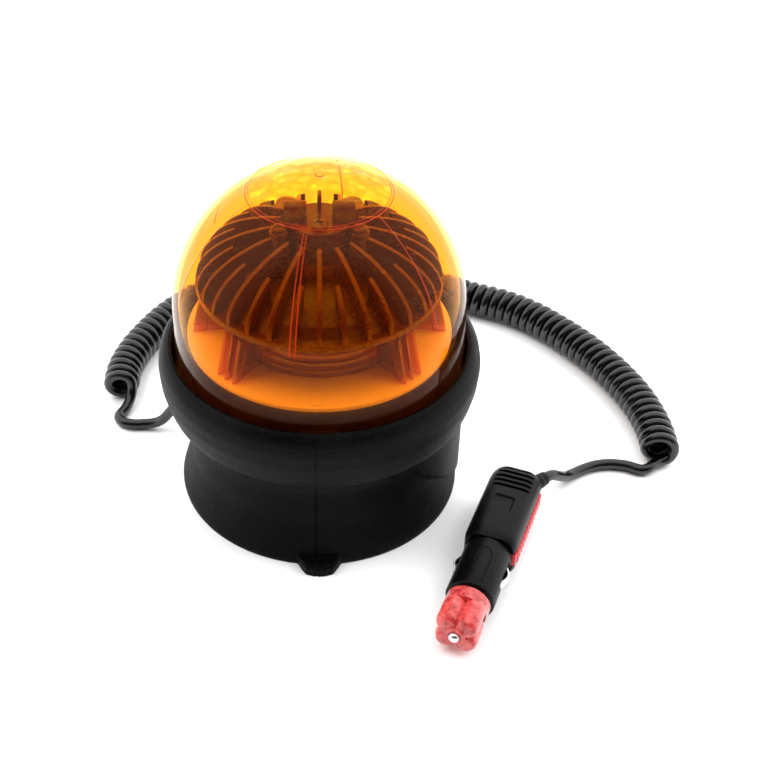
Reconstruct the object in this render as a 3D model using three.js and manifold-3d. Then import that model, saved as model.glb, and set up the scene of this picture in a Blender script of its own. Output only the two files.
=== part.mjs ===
// A magnetic warning beacon: an amber lens over a finned heat sink and an LED core, held in a rubber boot
// with a pot magnet under it, and a curly cord to a lighter-socket plug that lies on the same floor.
// Millimetres, +Z up. The origin is the middle of the magnet's resting face, and -Y is the front.

import * as THREE from "three";
import { mergeVertices } from "three/addons/utils/BufferGeometryUtils.js";
import Module from "manifold-3d";

const wasm = await Module();
wasm.setup();

// ---------- Driving dimensions ----------

const GAP = 0.3; // between neighbouring pieces
const ROUND = 32; // sides of a large round piece
const SMALL_ROUND = 16; // sides of a small round piece
const FRONT = -90; // degrees about Z from +X

const LENS_RADIUS = 65;
const LENS_WALL = 2.6;
const LENS_CENTRE_Z = 96.9;
const LENS_FOOT_Z = 66.7;
const LUG_COUNT = 3;
const LUG_SPAN = 15; // degrees
const LUG_START = 30; // degrees, the middle of the first lug

const BOOT_FOOT_RADIUS = 65.7;
const BOOT_LIP_RADIUS = 66.9;
const BOOT_SHELF_Z = 60.4;
const BOOT_CAVITY_RADIUS = 50;
const BOOT_LOBE_RADIUS = 66.8;
const BOOT_LOBE_ANGLE = 15; // degrees about Z from +X, the lobe's middle
const TIER_SPAN = 55; // degrees
const TAB_HEIGHT = 5;

const MAGNET_RADIUS = 52;
const PAD_THICKNESS = 2;
const CUP_TOP_Z = 9;
const WEB_TOP_Z = 11.3;

const HOUSING_FLOOR_Z = WEB_TOP_Z + GAP;
const HOUSING_RADIUS = BOOT_CAVITY_RADIUS - 0.4;
const HOUSING_WALL = 3;
const UPSTAND_RADIUS = 58.8;
const UPSTAND_TOP_Z = 82.8;

const PLATE_RADIUS = 59.2;
const PLATE_TOP_Z = 85.3;
const CORE_RADIUS = 30;
const CORE_TOP_Z = 105.5;
const CORE_SIDES = 8;
const OPTIC_RADIUS = 38.5;
const OPTIC_TOP_Z = 106;

const SINK_RADIUS = 54;
const SINK_RIM_Z = 112.7;
const SINK_RISE = 26;
const SINK_RIBS = 32;
const SINK_SCREW_X = 17;
const SINK_SCREW_Y = -6;

const HUB_RADIUS = 13;
const HUB_TOP_Z = 141;
const HUB_LUG_X = 10.2;
const HUB_SCREW_Y = -7;

const GLAND_ANGLE = 160.5; // degrees about Z from +X
const GLAND_Z = 20.4;
const GLAND_MOUTH = 68.3; // from the beacon's axis

const CORD_RADIUS = 2.55;
const COIL_RADIUS = 9.3;
const COIL_Z = 9.4;

const PLUG_REAR = new THREE.Vector3(93, -25, 12.3);
const PLUG_HEADING = -111.8; // degrees about Z from +X, the way its tip points
const SHELL_END = 50;
const SHELL_HALF = 12;
const BARREL_RADIUS = 10.8;
const BARREL_END = 79.7;
const PIN_RADIUS = 6;
const PIN_END = 95.5;
const BOOT_HEADING = 150; // degrees in the plug's own frame, the way its cord leaves
const GROOVE_PITCH = 3.2;
const RIB_GROOVES = 5;
const KNURL_GROOVES = 12;
const SLIDE_START = 6.4;
const SPRING_TURNS = 3;

// ---------- Materials ----------

const finish = (color, roughness, metalness = 0) =>
  new THREE.MeshStandardMaterial({ color, roughness, metalness });
const rubber = () => finish(0x1b1c1c, 0.85);
const blackPlastic = () => finish(0x1f2021, 0.5);
const amberLens = () => finish(0xff9a0a, 0.08);
const clearPlastic = () => finish(0xf2ece0, 0.1);
const whitePlastic = () => finish(0xf0efe8, 0.45);
const steel = () => finish(0xb9bcbe, 0.32, 1);
const magnetBlack = () => finish(0x3a3a3c, 0.6, 0.4);
const anodised = () => finish(0x17171a, 0.55, 0.6);
const aluminium = () => finish(0xc9cccf, 0.4, 1);
const boardGreen = () => finish(0x1d6b3c, 0.5);
const ledYellow = () => finish(0xffd24a, 0.3);
const redPlastic = () => finish(0xe23136, 0.25);
const brass = () => finish(0xc9a24a, 0.35, 1);
const glass = () => finish(0xe6eef0, 0.05);

// ---------- Solid helpers ----------

function toSolid(geometry) {
  const bare = geometry.index ? geometry.toNonIndexed() : geometry.clone();
  bare.deleteAttribute("normal");
  bare.deleteAttribute("uv");
  const merged = mergeVertices(bare, 1e-4);
  const corners = merged.index.array;
  const triVerts = [];
  for (let i = 0; i < corners.length; i += 3) {
    const [a, b, c] = corners.slice(i, i + 3);
    if (a !== b && b !== c && c !== a) triVerts.push(a, b, c);
  }
  const vertProperties = merged.attributes.position.array;
  const mesh = new wasm.Mesh({ numProp: 3, vertProperties, triVerts: new Uint32Array(triVerts) });
  return new wasm.Manifold(mesh);
}

function toGeometry(solid) {
  const { vertProperties, triVerts } = solid.getMesh();
  const geometry = new THREE.BufferGeometry();
  geometry.setAttribute("position", new THREE.BufferAttribute(vertProperties, 3));
  geometry.setIndex(new THREE.BufferAttribute(triVerts, 1));
  geometry.computeVertexNormals();
  return geometry;
}

const join = (...shapes) => toGeometry(shapes.map(toSolid).reduce((whole, shape) => whole.add(shape)));
const cut = (body, ...tools) =>
  toGeometry(tools.map(toSolid).reduce((whole, tool) => whole.subtract(tool), toSolid(body)));
const common = (first, second) => toGeometry(toSolid(first).intersect(toSolid(second)));

function piece(name, geometry, material) {
  const mesh = new THREE.Mesh(toGeometry(toSolid(geometry)), material);
  mesh.name = name;
  return mesh;
}

const radians = THREE.MathUtils.degToRad;
const turn = (geometry, degrees) => geometry.rotateZ(radians(degrees));

// A closed outline of [radius, height] pairs, turned about Z.
function turned(outline, sides = ROUND) {
  const points = outline.map(([radius, height]) => new THREE.Vector2(radius, height));
  const first = points[0];
  const last = points[points.length - 1];
  if (first.x !== 0 || last.x !== 0) points.push(first.clone());
  if (THREE.ShapeUtils.area(points) < 0) points.reverse();
  return new THREE.LatheGeometry(points, sides).rotateX(Math.PI / 2);
}

const rod = (radius, low, high, sides = SMALL_ROUND) =>
  new THREE.CylinderGeometry(radius, radius, high - low, sides)
    .rotateX(Math.PI / 2)
    .translate(0, 0, (low + high) / 2);

const block = (x0, x1, y0, y1, z0, z1) =>
  new THREE.BoxGeometry(x1 - x0, y1 - y0, z1 - z0).translate((x0 + x1) / 2, (y0 + y1) / 2, (z0 + z1) / 2);

const shapeOf = (points) => new THREE.Shape(points.map(([x, y]) => new THREE.Vector2(x, y)));
const slab = (shape, low, high) =>
  new THREE.ExtrudeGeometry(shape, { depth: high - low, bevelEnabled: false, curveSegments: 8 })
    .translate(0, 0, low);

// A plate that stands on edge in the X-Z plane, its outline given as [radius, height].
const upright = (shape, half) => slab(shape, -half, half).rotateX(Math.PI / 2);

// A ring's sector about Z, centred on +X.
function sector(inner, outer, span, low, high) {
  const half = radians(span) / 2;
  const shape = new THREE.Shape();
  shape.absarc(0, 0, outer, -half, half, false);
  shape.absarc(0, 0, inner, half, -half, true);
  return slab(shape, low, high);
}

// What was made along Z lies along X instead: X becomes Y and Y becomes Z.
const alongX = (geometry) => geometry.rotateX(Math.PI / 2).rotateZ(Math.PI / 2);
const turnedX = (outline, sides) => alongX(turned(outline, sides));
const rodX = (radius, from, to, sides) => alongX(rod(radius, from, to, sides));

// An arc's points in an outline: centre, two radii, and the angles in degrees from the first axis.
function arc(cx, cy, rx, ry, from, to, steps) {
  const points = [];
  for (let i = 0; i <= steps; i++) {
    const angle = radians(from + ((to - from) * i) / steps);
    points.push([cx + rx * Math.cos(angle), cy + ry * Math.sin(angle)]);
  }
  return points;
}

// A plain round tube along a smooth path.
function tube(points, radius, sides, steps) {
  const path = new THREE.CatmullRomCurve3(
    points.map(([x, y, z]) => new THREE.Vector3(x, y, z)),
    false,
    "centripetal",
  );
  const section = new THREE.Shape();
  for (let i = 0; i < sides; i++) {
    const angle = (2 * Math.PI * (i + 0.5)) / sides;
    const corner = [radius * Math.cos(angle), radius * Math.sin(angle)];
    if (i) section.lineTo(...corner);
    else section.moveTo(...corner);
  }
  section.closePath();
  return new THREE.ExtrudeGeometry(section, { steps, extrudePath: path, bevelEnabled: false });
}

// ---------- Rubber boot and magnet ----------

function rubberBoot() {
  const wall = turned([
    [MAGNET_RADIUS + 0.4, 0],
    [BOOT_FOOT_RADIUS, 0],
    [66, 2.5],
    [65, 6],
    [60.9, 19],
    [58.3, 32],
    [57.4, 44],
    [58.4, 46.8],
    [66.2, 47.6],
    [69, 50],
    [70.9, 55],
    [72.6, 62],
    [73.2, 69.8],
    [72.3, 75],
    [70.2, 78.4],
    [68.4, 79.3],
    [BOOT_LIP_RADIUS, 78.6],
    [BOOT_LIP_RADIUS, BOOT_SHELF_Z],
    [BOOT_CAVITY_RADIUS, BOOT_SHELF_Z],
    [BOOT_CAVITY_RADIUS, WEB_TOP_Z],
    [4, WEB_TOP_Z],
    [4, CUP_TOP_Z + GAP],
    [MAGNET_RADIUS + 0.4, CUP_TOP_Z + GAP],
  ]);
  return cut(join(wall, frontTier(), sideLobe(), pullTab()), glandHole(5.6, BOOT_CAVITY_RADIUS - 4));
}

const frontTier = () => turn(sector(55, BOOT_LOBE_RADIUS - 0.4, TIER_SPAN, 43, 50), FRONT);

// A rounded lobe that hangs from the collar on the right-hand side.
function sideLobe() {
  const halfWidth = 62;
  const top = 50;
  const outline = shapeOf([...arc(0, 48, halfWidth, 42, 180, 360, 14), [halfWidth, top], [-halfWidth, top]]);
  const prism = alongX(slab(outline, 20, 80));
  const band = sector(54.5, BOOT_LOBE_RADIUS, 140, 3, top);
  return turn(common(prism, band), BOOT_LOBE_ANGLE);
}

function pullTab() {
  const rightSide = [[58, -10], [67.5, -8.6], [71.8, -6], [73.1, -2.4]];
  const leftSide = rightSide.map(([x, y]) => [x, -y]).reverse();
  return turn(slab(shapeOf([...rightSide, ...leftSide]), 0, TAB_HEIGHT), FRONT);
}

const glandHole = (radius, from) => turn(rodX(radius, from, 80, 20), GLAND_ANGLE).translate(0, 0, GLAND_Z);

const magnetCup = () =>
  turned([
    [3.3, 5.7],
    [6.5, 5.7],
    [6.5, PAD_THICKNESS + GAP],
    [16, PAD_THICKNESS + GAP],
    [16, 6.5],
    [49.5, 6.5],
    [49.5, PAD_THICKNESS + GAP],
    [MAGNET_RADIUS, PAD_THICKNESS + GAP],
    [MAGNET_RADIUS, CUP_TOP_Z],
    [3.3, CUP_TOP_Z],
  ]);

const ringMagnet = () => turned([[16.3, 2.4], [49.2, 2.4], [49.2, 6.2], [16.3, 6.2]]);
const magnetPad = () => rod(MAGNET_RADIUS, 0, PAD_THICKNESS, ROUND);
const magnetBolt = () => join(rod(6.1, 2.4, 5.4), rod(2.9, 5.3, 24));
const ringOf = (inner, outer, low, high, sides = SMALL_ROUND) =>
  turned([[inner, low], [outer, low], [outer, high], [inner, high]], sides);
const magnetWasher = () => ringOf(3.3, 8, 14.4, 15.6);
const magnetNut = () => cut(rod(5.8, 15.9, 20.9, 6), rod(3.2, 15, 22));

function baseGroup() {
  const group = new THREE.Group();
  group.add(
    piece("rubber_boot", rubberBoot(), rubber()),
    piece("magnet_pad", magnetPad(), rubber()),
    piece("magnet_cup", magnetCup(), steel()),
    piece("ring_magnet", ringMagnet(), magnetBlack()),
    piece("magnet_bolt", magnetBolt(), steel()),
    piece("magnet_washer", magnetWasher(), steel()),
    piece("magnet_nut", magnetNut(), steel()),
  );
  return group;
}

// ---------- Lamp housing and driver ----------

const BOARD_Z = 26;
const BOARD_THICKNESS = 1.6;
const PILLAR_RADIUS = 34; // from the beacon's axis
const PILLAR_ANGLES = [30, 150, 270];
const atPillar = (geometry, angle) => turn(geometry.translate(PILLAR_RADIUS, 0, 0), angle);

function lampHousing() {
  const inner = HOUSING_RADIUS - HOUSING_WALL;
  const shelfTop = BOOT_SHELF_Z + GAP + 3;
  const shell = turned([
    [3.3, HOUSING_FLOOR_Z],
    [HOUSING_RADIUS, HOUSING_FLOOR_Z],
    [HOUSING_RADIUS, BOOT_SHELF_Z + GAP],
    [BOOT_LIP_RADIUS - 0.6, BOOT_SHELF_Z + GAP],
    [BOOT_LIP_RADIUS - 0.6, shelfTop],
    [UPSTAND_RADIUS, shelfTop],
    [UPSTAND_RADIUS, UPSTAND_TOP_Z],
    [UPSTAND_RADIUS - 2.8, UPSTAND_TOP_Z],
    [UPSTAND_RADIUS - 2.8, shelfTop],
    [inner, 58],
    [inner, HOUSING_FLOOR_Z + 2.4],
    [3.3, HOUSING_FLOOR_Z + 2.4],
  ]);
  const pillars = PILLAR_ANGLES.map((angle) =>
    atPillar(cut(rod(3.6, HOUSING_FLOOR_Z + 2, BOARD_Z - GAP), rod(1.5, 16, 30, 8)), angle),
  );
  const hooks = lugAngles(0).map((angle) =>
    turn(sector(UPSTAND_RADIUS - 1, 61.9, LUG_SPAN, 70.4, 73), angle),
  );
  return cut(join(shell, ...pillars, ...hooks), glandHole(4.5, 40));
}

const lugAngles = (offset) =>
  Array.from({ length: LUG_COUNT }, (_, i) => LUG_START + offset + (i * 360) / LUG_COUNT);

// The gland and the lead inside it are made along X, then turned to the cord's way out.
const atGland = (geometry) => turn(geometry, GLAND_ANGLE).translate(0, 0, GLAND_Z);

function cableGland() {
  const bore = CORD_RADIUS + 0.35;
  return atGland(
    turnedX([
      [bore, 40],
      [4.2, 40],
      [4.2, 50.4],
      [5.2, 50.4],
      [5.2, 64.5],
      [4.6, 66.8],
      [3.7, GLAND_MOUTH - GAP],
      [bore, GLAND_MOUTH - GAP],
    ], 20),
  );
}

const glandNut = () => atGland(cut(rodX(6.8, 41.5, 45, 6).rotateX(radians(30)), rodX(4.5, 40, 47, 20)));
const innerLead = () => atGland(rodX(CORD_RADIUS - 0.05, 28.6, GLAND_MOUTH - GAP, 10));
const terminalBlock = () => atGland(block(18, 28.3, -6, 6, -3.7, BOARD_Z - GAP - GLAND_Z));
const driverBoard = () => {
  const screwHoles = PILLAR_ANGLES.map((angle) => atPillar(rod(1.5, 20, 30, 8), angle));
  return cut(rod(40, BOARD_Z, BOARD_Z + BOARD_THICKNESS, ROUND), ...screwHoles);
};
const aboveBoard = (height) => BOARD_Z + BOARD_THICKNESS + GAP + height;
const boardScrew = (angle) =>
  atPillar(join(rod(2.6, aboveBoard(0), aboveBoard(1.7), 10), rod(1.2, 18, aboveBoard(0.1), 8)), angle);
const driverCapacitor = () => rod(5, aboveBoard(0), aboveBoard(15)).translate(-20, -12, 0);
const driverCoil = () => ringOf(4, 9, aboveBoard(0), aboveBoard(7)).translate(18, -14, 0);
const coreLead = () => rod(1.8, aboveBoard(0), PLATE_TOP_Z + 12, 10).translate(0, 7, 0);

function housingGroup() {
  const group = new THREE.Group();
  group.add(
    piece("lamp_housing", lampHousing(), blackPlastic()),
    piece("cable_gland", cableGland(), blackPlastic()),
    piece("gland_nut", glandNut(), blackPlastic()),
    piece("inner_lead", innerLead(), rubber()),
    piece("terminal_block", terminalBlock(), whitePlastic()),
    piece("driver_board", driverBoard(), boardGreen()),
    piece("driver_capacitor", driverCapacitor(), aluminium()),
    piece("driver_coil", driverCoil(), magnetBlack()),
    piece("core_lead", coreLead(), rubber()),
  );
  PILLAR_ANGLES.forEach((angle, i) => group.add(piece(`board_screw_${i + 1}`, boardScrew(angle), steel())));
  return group;
}

// ---------- LED core, optics and heat sink ----------

function reflectorPlate() {
  const plate = turned([
    [2.6, UPSTAND_TOP_Z + GAP],
    [PLATE_RADIUS, UPSTAND_TOP_Z + GAP],
    [PLATE_RADIUS, PLATE_TOP_Z],
    [2.6, PLATE_TOP_Z],
  ]);
  const clips = lugAngles(60).map((angle) => turn(sector(53.2, 55.6, 12, 75, UPSTAND_TOP_Z + 1), angle));
  return cut(join(plate, ...clips), rod(2.6, 80, 90, 10).translate(0, 7, 0));
}

const octagon = (radius, low, high) => turn(rod(radius, low, high, CORE_SIDES), 22.5);
const ledCore = () => {
  const pilots = [-1, 1].map((side) => rod(1.9, 92, 110, 8).translate(side * SINK_SCREW_X, SINK_SCREW_Y, 0));
  return cut(octagon(CORE_RADIUS, PLATE_TOP_Z + GAP, CORE_TOP_Z), rod(12, 80, 110), ...pilots);
};
const ledBoard = () => cut(octagon(CORE_RADIUS + 1.7, 87.5, 104), octagon(CORE_RADIUS + 0.4, 80, 110));
const ledPackage = (index) => {
  const face = (CORE_RADIUS + 1.7) * Math.cos(Math.PI / CORE_SIDES) + GAP;
  const base = block(face, face + 1.2, -2.6, 2.6, 92.6, 97.8);
  const bulb = rodX(1.9, face + 1, face + 2.2, 8).translate(0, 0, 95.2);
  return turn(join(base, bulb), FRONT + (index * 360) / CORE_SIDES);
};

// A clear ring round the LED core, with groups of three thin guide fins between the LEDs.
function opticRing() {
  const low = PLATE_TOP_Z + GAP;
  const ring = turned([
    [35.6, low],
    [OPTIC_RADIUS + 0.8, low],
    [OPTIC_RADIUS, OPTIC_TOP_Z],
    [35.6, OPTIC_TOP_Z],
  ]);
  const finOutline = shapeOf([
    [37, low],
    [57.2, low],
    [55.5, low + 3],
    [45.5, OPTIC_TOP_Z - 4],
    [42, OPTIC_TOP_Z],
    [37, OPTIC_TOP_Z],
  ]);
  const fins = [];
  for (let i = 1; i < CORE_SIDES; i++) {
    const middle = FRONT + (i * 360) / CORE_SIDES;
    for (const offset of [-7, 0, 7]) fins.push(turn(upright(finOutline, 0.6), middle + offset));
  }
  return join(ring, ...fins);
}

function heatSink() {
  const lowZ = OPTIC_TOP_Z + GAP;
  const body = turned([
    [0, lowZ],
    [40, lowZ],
    [50, 109.4],
    [SINK_RADIUS, 109.4],
    [SINK_RADIUS, SINK_RIM_Z],
    [50, SINK_RIM_Z],
    ...arc(0, SINK_RIM_Z, 49, 12.5, 20, 68, 3),
    [HUB_RADIUS, 125],
    [HUB_RADIUS, HUB_TOP_Z],
    [0, HUB_TOP_Z],
  ], SINK_RIBS);
  const ribs = [];
  for (let i = 0; i < SINK_RIBS; i++) {
    ribs.push(turn(heatSinkRib(i % 2 === 0), FRONT + (i * 360) / SINK_RIBS));
  }
  return cut(join(body, ...ribs, ...sinkCrown()), ...sinkScrewHoles());
}

// A fin stands on the body and follows an ellipse from the hub to the rim.
function heatSinkRib(long) {
  const start = long ? 70 : 46;
  const outer = SINK_RADIUS - 0.4;
  const top = arc(0, SINK_RIM_Z, outer, SINK_RISE, start, 0, long ? 5 : 3);
  return upright(shapeOf([[top[0][0], 110], ...top, [outer, 110]].reverse()), 1);
}

function sinkCrown() {
  const lugs = [-1, 1].map((side) =>
    join(block(-4.8, 4.8, -3, 4, 124, 145.5), rodX(3.5, -4.8, 4.8, 12).translate(0, 0.5, 145.2))
      .translate(side * HUB_LUG_X, 0, 0),
  );
  const fin = block(-0.9, 0.9, 6, 10.5, 138, 148.5);
  const bosses = [-1, 1].map((side) => rod(4.2, 118, 138.5).translate(side * SINK_SCREW_X, SINK_SCREW_Y, 0));
  return [...lugs, fin, ...bosses];
}

const sinkScrewHoles = () => [
  ...[-1, 1].map((side) => rod(1.8, 100, 150, 10).translate(side * SINK_SCREW_X, SINK_SCREW_Y, 0)),
  rod(2.3, 124, 150, 10).translate(0, HUB_SCREW_Y, 0),
];
const panScrew = (headRadius, shankRadius, low, seat, high) =>
  join(rod(headRadius, seat, high, 14), rod(shankRadius, low, seat + 0.2, 10));
const sinkScrew = (side) =>
  panScrew(3.2, 1.5, 93, 138.8, 140.8).translate(side * SINK_SCREW_X, SINK_SCREW_Y, 0);
const hubScrew = () => panScrew(3.8, 2, 126, HUB_TOP_Z + GAP, 143.4).translate(0, HUB_SCREW_Y, 0);

function lampGroup() {
  const group = new THREE.Group();
  group.add(
    piece("reflector_plate", reflectorPlate(), whitePlastic()),
    piece("led_core", ledCore(), aluminium()),
    piece("led_board", ledBoard(), whitePlastic()),
    piece("optic_ring", opticRing(), clearPlastic()),
    piece("heat_sink", heatSink(), anodised()),
    piece("sink_screw_left", sinkScrew(-1), steel()),
    piece("sink_screw_right", sinkScrew(1), steel()),
    piece("hub_screw", hubScrew(), steel()),
  );
  for (let i = 0; i < CORE_SIDES; i++) group.add(piece(`led_${i + 1}`, ledPackage(i), ledYellow()));
  return group;
}

// ---------- Lens ----------

function lens() {
  const inner = LENS_RADIUS - LENS_WALL;
  const shell = turned([
    ...arc(0, LENS_CENTRE_Z, LENS_RADIUS, LENS_RADIUS, 90, 0, 8).map(onAxis),
    [LENS_RADIUS + 0.5, 79],
    [LENS_RADIUS + 0.7, LENS_FOOT_Z],
    [inner + 0.7, LENS_FOOT_Z],
    [inner + 0.3, 79],
    ...arc(0, LENS_CENTRE_Z, inner, inner, 0, 90, 8).map(onAxis),
  ]);
  const lugs = lugAngles(0).map((angle) => turn(sector(60.2, inner + 1, LUG_SPAN, 67, 70), angle));
  return join(shell, ...lugs);
}

// A point that rounding left beside the axis goes back on it.
const onAxis = ([radius, height]) => [radius < 1e-6 ? 0 : radius, height];
const lensSeal = () => ringOf(UPSTAND_RADIUS + GAP, 65.6, BOOT_SHELF_Z + 3.6, BOOT_SHELF_Z + 6, ROUND);

function lensGroup() {
  const group = new THREE.Group();
  group.add(piece("lens_seal", lensSeal(), rubber()), piece("dome_lens", lens(), amberLens()));
  return group;
}

// ---------- Cord ----------

const COIL_ROUTE = [
  [-102, 50.4], [-102, 65], [-98.5, 81], [-92, 97], [-82, 115], [-65, 134], [-38, 149], [0, 156],
  [38, 152], [64, 143.5], [86, 132], [101.5, 125], [117, 113.5], [131, 98], [144, 80], [154.5, 60],
  [162, 39], [165.5, 18], [165.5, 0],
].map(([x, y]) => [x, y, COIL_Z]);

const LAMP_TAIL_ROUTE = [
  [-64.66, 22.9, GLAND_Z], [-68, 24.1, 19.9], [-71.6, 25.3, 17.4], [-74.6, 26.4, 13], [-78, 27.6, 7.8],
  [-82.5, 29, 4], [-88, 29.4, 2.9], [-94, 29.2, 2.8], [-99.6, 31, 2.8], [-102, 35.5, 2.8], [-100, 40, 2.9],
  [-97.7, 44.5, 3.6], [-97.2, 49.8, 4.7],
];

const PLUG_TAIL_ROUTE = [
  [106.35, -21.25, 12.3], [109.6, -18.8, 11.7], [113, -16.2, 9], [117, -12.8, 5.4], [121.5, -8.8, 3.2],
  [127.5, -4.9, 2.8], [134.5, -1.9, 2.8], [142, -1, 2.8], [149.5, -2.3, 2.8], [155.6, -5.4, 2.9],
  [160.4, -6.4, 3.4], [162, -1.2, 4.6],
];

function cordGroup() {
  const group = new THREE.Group();
  group.add(
    piece("cord_lamp_tail", tube(LAMP_TAIL_ROUTE, CORD_RADIUS, 8, 16), rubber()),
    piece("cord_coil", tube(COIL_ROUTE, COIL_RADIUS, 10, 22), rubber()),
    piece("cord_plug_tail", tube(PLUG_TAIL_ROUTE, CORD_RADIUS, 8, 18), rubber()),
  );
  return group;
}

// ---------- Plug, along its own +X from the cord to the tip ----------

function shellOutline(half, corner) {
  return shapeOf([
    ...arc(half - corner, half - corner, corner, corner, 0, 90, 4),
    ...arc(corner - half, half - corner, corner, corner, 90, 180, 4),
    ...arc(corner - half, corner - half, corner, corner, 180, 270, 4),
    ...arc(half - corner, corner - half, corner, corner, 270, 360, 4),
  ]);
}

// Half of the plug's handle: side 1 is the upper half, side -1 the lower.
function plugShell(side) {
  const handle = alongX(slab(shellOutline(SHELL_HALF, 7.5), 0, SHELL_END));
  const half = side > 0 ? block(-1, 60, -20, 20, GAP / 2, 20) : block(-1, 60, -20, 20, -20, -GAP / 2);
  const hollow = block(2.5, SHELL_END + 1, -9.4, 6.4, -9.6, 9.6);
  const slideChannel = block(1.6, SHELL_END + 1, 8.8, 20, -3.9, 3.9);
  const bootHole = rodX(4.4, -20, 20, 14).rotateZ(radians(BOOT_HEADING)).translate(2, 5, 0);
  const rearCorner = block(-20, 0, -30, 30, -20, 20).rotateZ(radians(-28)).translate(0.8, 6, 0);
  const groove = (i) => block(3, 4.4, -14, 8.6, 11, 14).translate(i * GROOVE_PITCH, 0, 0);
  const grooves = Array.from({ length: RIB_GROOVES }, (_, i) => groove(i));
  const thumbRest = block(23, 33, -5.5, 4, 11.2, 14);
  const screwHole = rod(1.7, -20, -5, 10).translate(40, -2, 0);
  const screwSeat = rod(3.3, -14, -10.6, 12).translate(40, -2, 0);
  const cuts = side > 0 ? [...grooves, thumbRest] : [screwHole, screwSeat];
  return cut(common(handle, half), hollow, slideChannel, bootHole, rearCorner, ...cuts);
}

function plugBarrel() {
  const body = turnedX([
    [1.5, SHELL_END + GAP],
    [BARREL_RADIUS, SHELL_END + GAP],
    [BARREL_RADIUS, BARREL_END - 1.2],
    [BARREL_RADIUS - 1, BARREL_END],
    [PIN_RADIUS, BARREL_END],
    [PIN_RADIUS, PIN_END],
    [2.8, PIN_END],
    [2.8, PIN_END - 3],
    [4.2, PIN_END - 3],
    [4.2, 52.8],
    [1.5, 52.8],
  ], 20);
  const tongue = block(42, SHELL_END + 1, -9, 6, -9.2, 9.2);
  const spigot = cut(tongue, rodX(1.5, 30, 60, 12), block(40, 49, -7, 4, -7, 7));
  const slots = [block(53.4, 69, 5.4, 20, -3, 3), block(53.4, 69, -20, -5.4, -3, 3)];
  return cut(join(body, spigot), ...slots);
}

// A bowed spring blade in the barrel's side slot.
function sideContact(side) {
  const outer = [[54, 8.6], [56.5, 10.3], [59.5, 12], [62, 12.5], [64.5, 11.7], [68.4, 8.6]];
  const inner = outer.map(([x, y]) => [x, y - 0.9]).reverse();
  const blade = slab(shapeOf([...outer, ...inner].reverse()), -2.5, 2.5);
  return side > 0 ? blade : blade.rotateX(Math.PI);
}

// The adapter sleeve: a round neck and four rounded lobes, bored to slide off the pin.
function plugAdapter() {
  const start = BARREL_END + GAP;
  const neck = turnedX([[0, start], [9.7, start], [9.2, 86.5], [0, 86.5]], 24);
  const lobes = [45, 135, 225, 315].map((angle) =>
    turnedX([[0, 86], [4.9, 87], [5, 97.5], [3.4, 100], [0, 100]], 12)
      .translate(0, 5.9, 0)
      .rotateX(radians(angle)),
  );
  const nose = turnedX([[0, 86], [7, 86], [7, 98.5], [4.4, 101], [0, 101]], 20);
  const pinBore = rodX(PIN_RADIUS + 0.45, 70, PIN_END + 0.5, 16);
  return cut(join(neck, nose, ...lobes), pinBore, rodX(2.8, 90, 110, 12));
}

const tipContact = () =>
  turnedX([[0, 90.2], [3.8, 90.2], [3.8, 92.2], [2.4, 92.2], [2.4, 101.6], [1.2, 103], [0, 103]], 14);
const plugFuse = () => turnedX([[0, 64], [3, 64], [3, 89.9], [0, 89.9]], 14);

function fuseSpring() {
  const points = [];
  const steps = SPRING_TURNS * 8;
  for (let i = 0; i <= steps; i++) {
    const angle = (2 * Math.PI * SPRING_TURNS * i) / steps;
    points.push([53.8 + (9.2 * i) / steps, 2.8 * Math.cos(angle), 2.8 * Math.sin(angle)]);
  }
  return tube(points, 0.45, 5, steps);
}

// The red slide along the handle's side, knurled across its outer face.
function releaseSlide() {
  const bar = block(SLIDE_START, SHELL_END - 0.4, 9.1, 12.7, -3.5, 3.5);
  const groove = (i) => block(8.4, 9.8, 12.2, 14, -4, 4).translate(i * GROOVE_PITCH, 0, 0);
  const grooves = Array.from({ length: KNURL_GROOVES }, (_, i) => groove(i));
  return cut(bar, ...grooves);
}

const plugBoot = () =>
  turnedX([[0, 1], [4, 1], [4, 5.5], [3.1, 11.6], [0, 11.6]], 14)
    .rotateZ(radians(BOOT_HEADING))
    .translate(2, 5, 0);
const plugScrew = () => join(rod(2.9, -11.8, -10.9, 12), rod(1.4, -11, -7.6, 10)).translate(40, -2, 0);

function plugGroup() {
  const group = new THREE.Group();
  group.add(
    piece("plug_shell_upper", plugShell(1), blackPlastic()),
    piece("plug_shell_lower", plugShell(-1), blackPlastic()),
    piece("plug_boot", plugBoot(), rubber()),
    piece("plug_barrel", plugBarrel(), blackPlastic()),
    piece("plug_adapter", plugAdapter(), redPlastic()),
    piece("release_slide", releaseSlide(), redPlastic()),
    piece("tip_contact", tipContact(), steel()),
    piece("plug_fuse", plugFuse(), glass()),
    piece("fuse_spring", fuseSpring(), steel()),
    piece("side_contact_left", sideContact(-1), steel()),
    piece("side_contact_right", sideContact(1), steel()),
    piece("plug_screw", plugScrew(), brass()),
  );
  group.position.copy(PLUG_REAR);
  group.rotation.z = radians(PLUG_HEADING);
  return group;
}

// ---------- The whole beacon ----------

const beacon = new THREE.Group();
beacon.add(baseGroup(), housingGroup(), lampGroup(), lensGroup(), cordGroup(), plugGroup());

export default beacon;
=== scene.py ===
"""A magnetic amber warning beacon with a curly cord and a lighter plug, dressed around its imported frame.

Sizes in the classes are millimetres in the beacon's frame: +Z up, -Y the front, the origin under the magnet.
"""

from __future__ import annotations

import logging
import math
from dataclasses import dataclass, field
from enum import Enum
from typing import Callable, Sequence

import bmesh
import bpy
import numpy as np
from mathutils import Matrix, Vector

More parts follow.
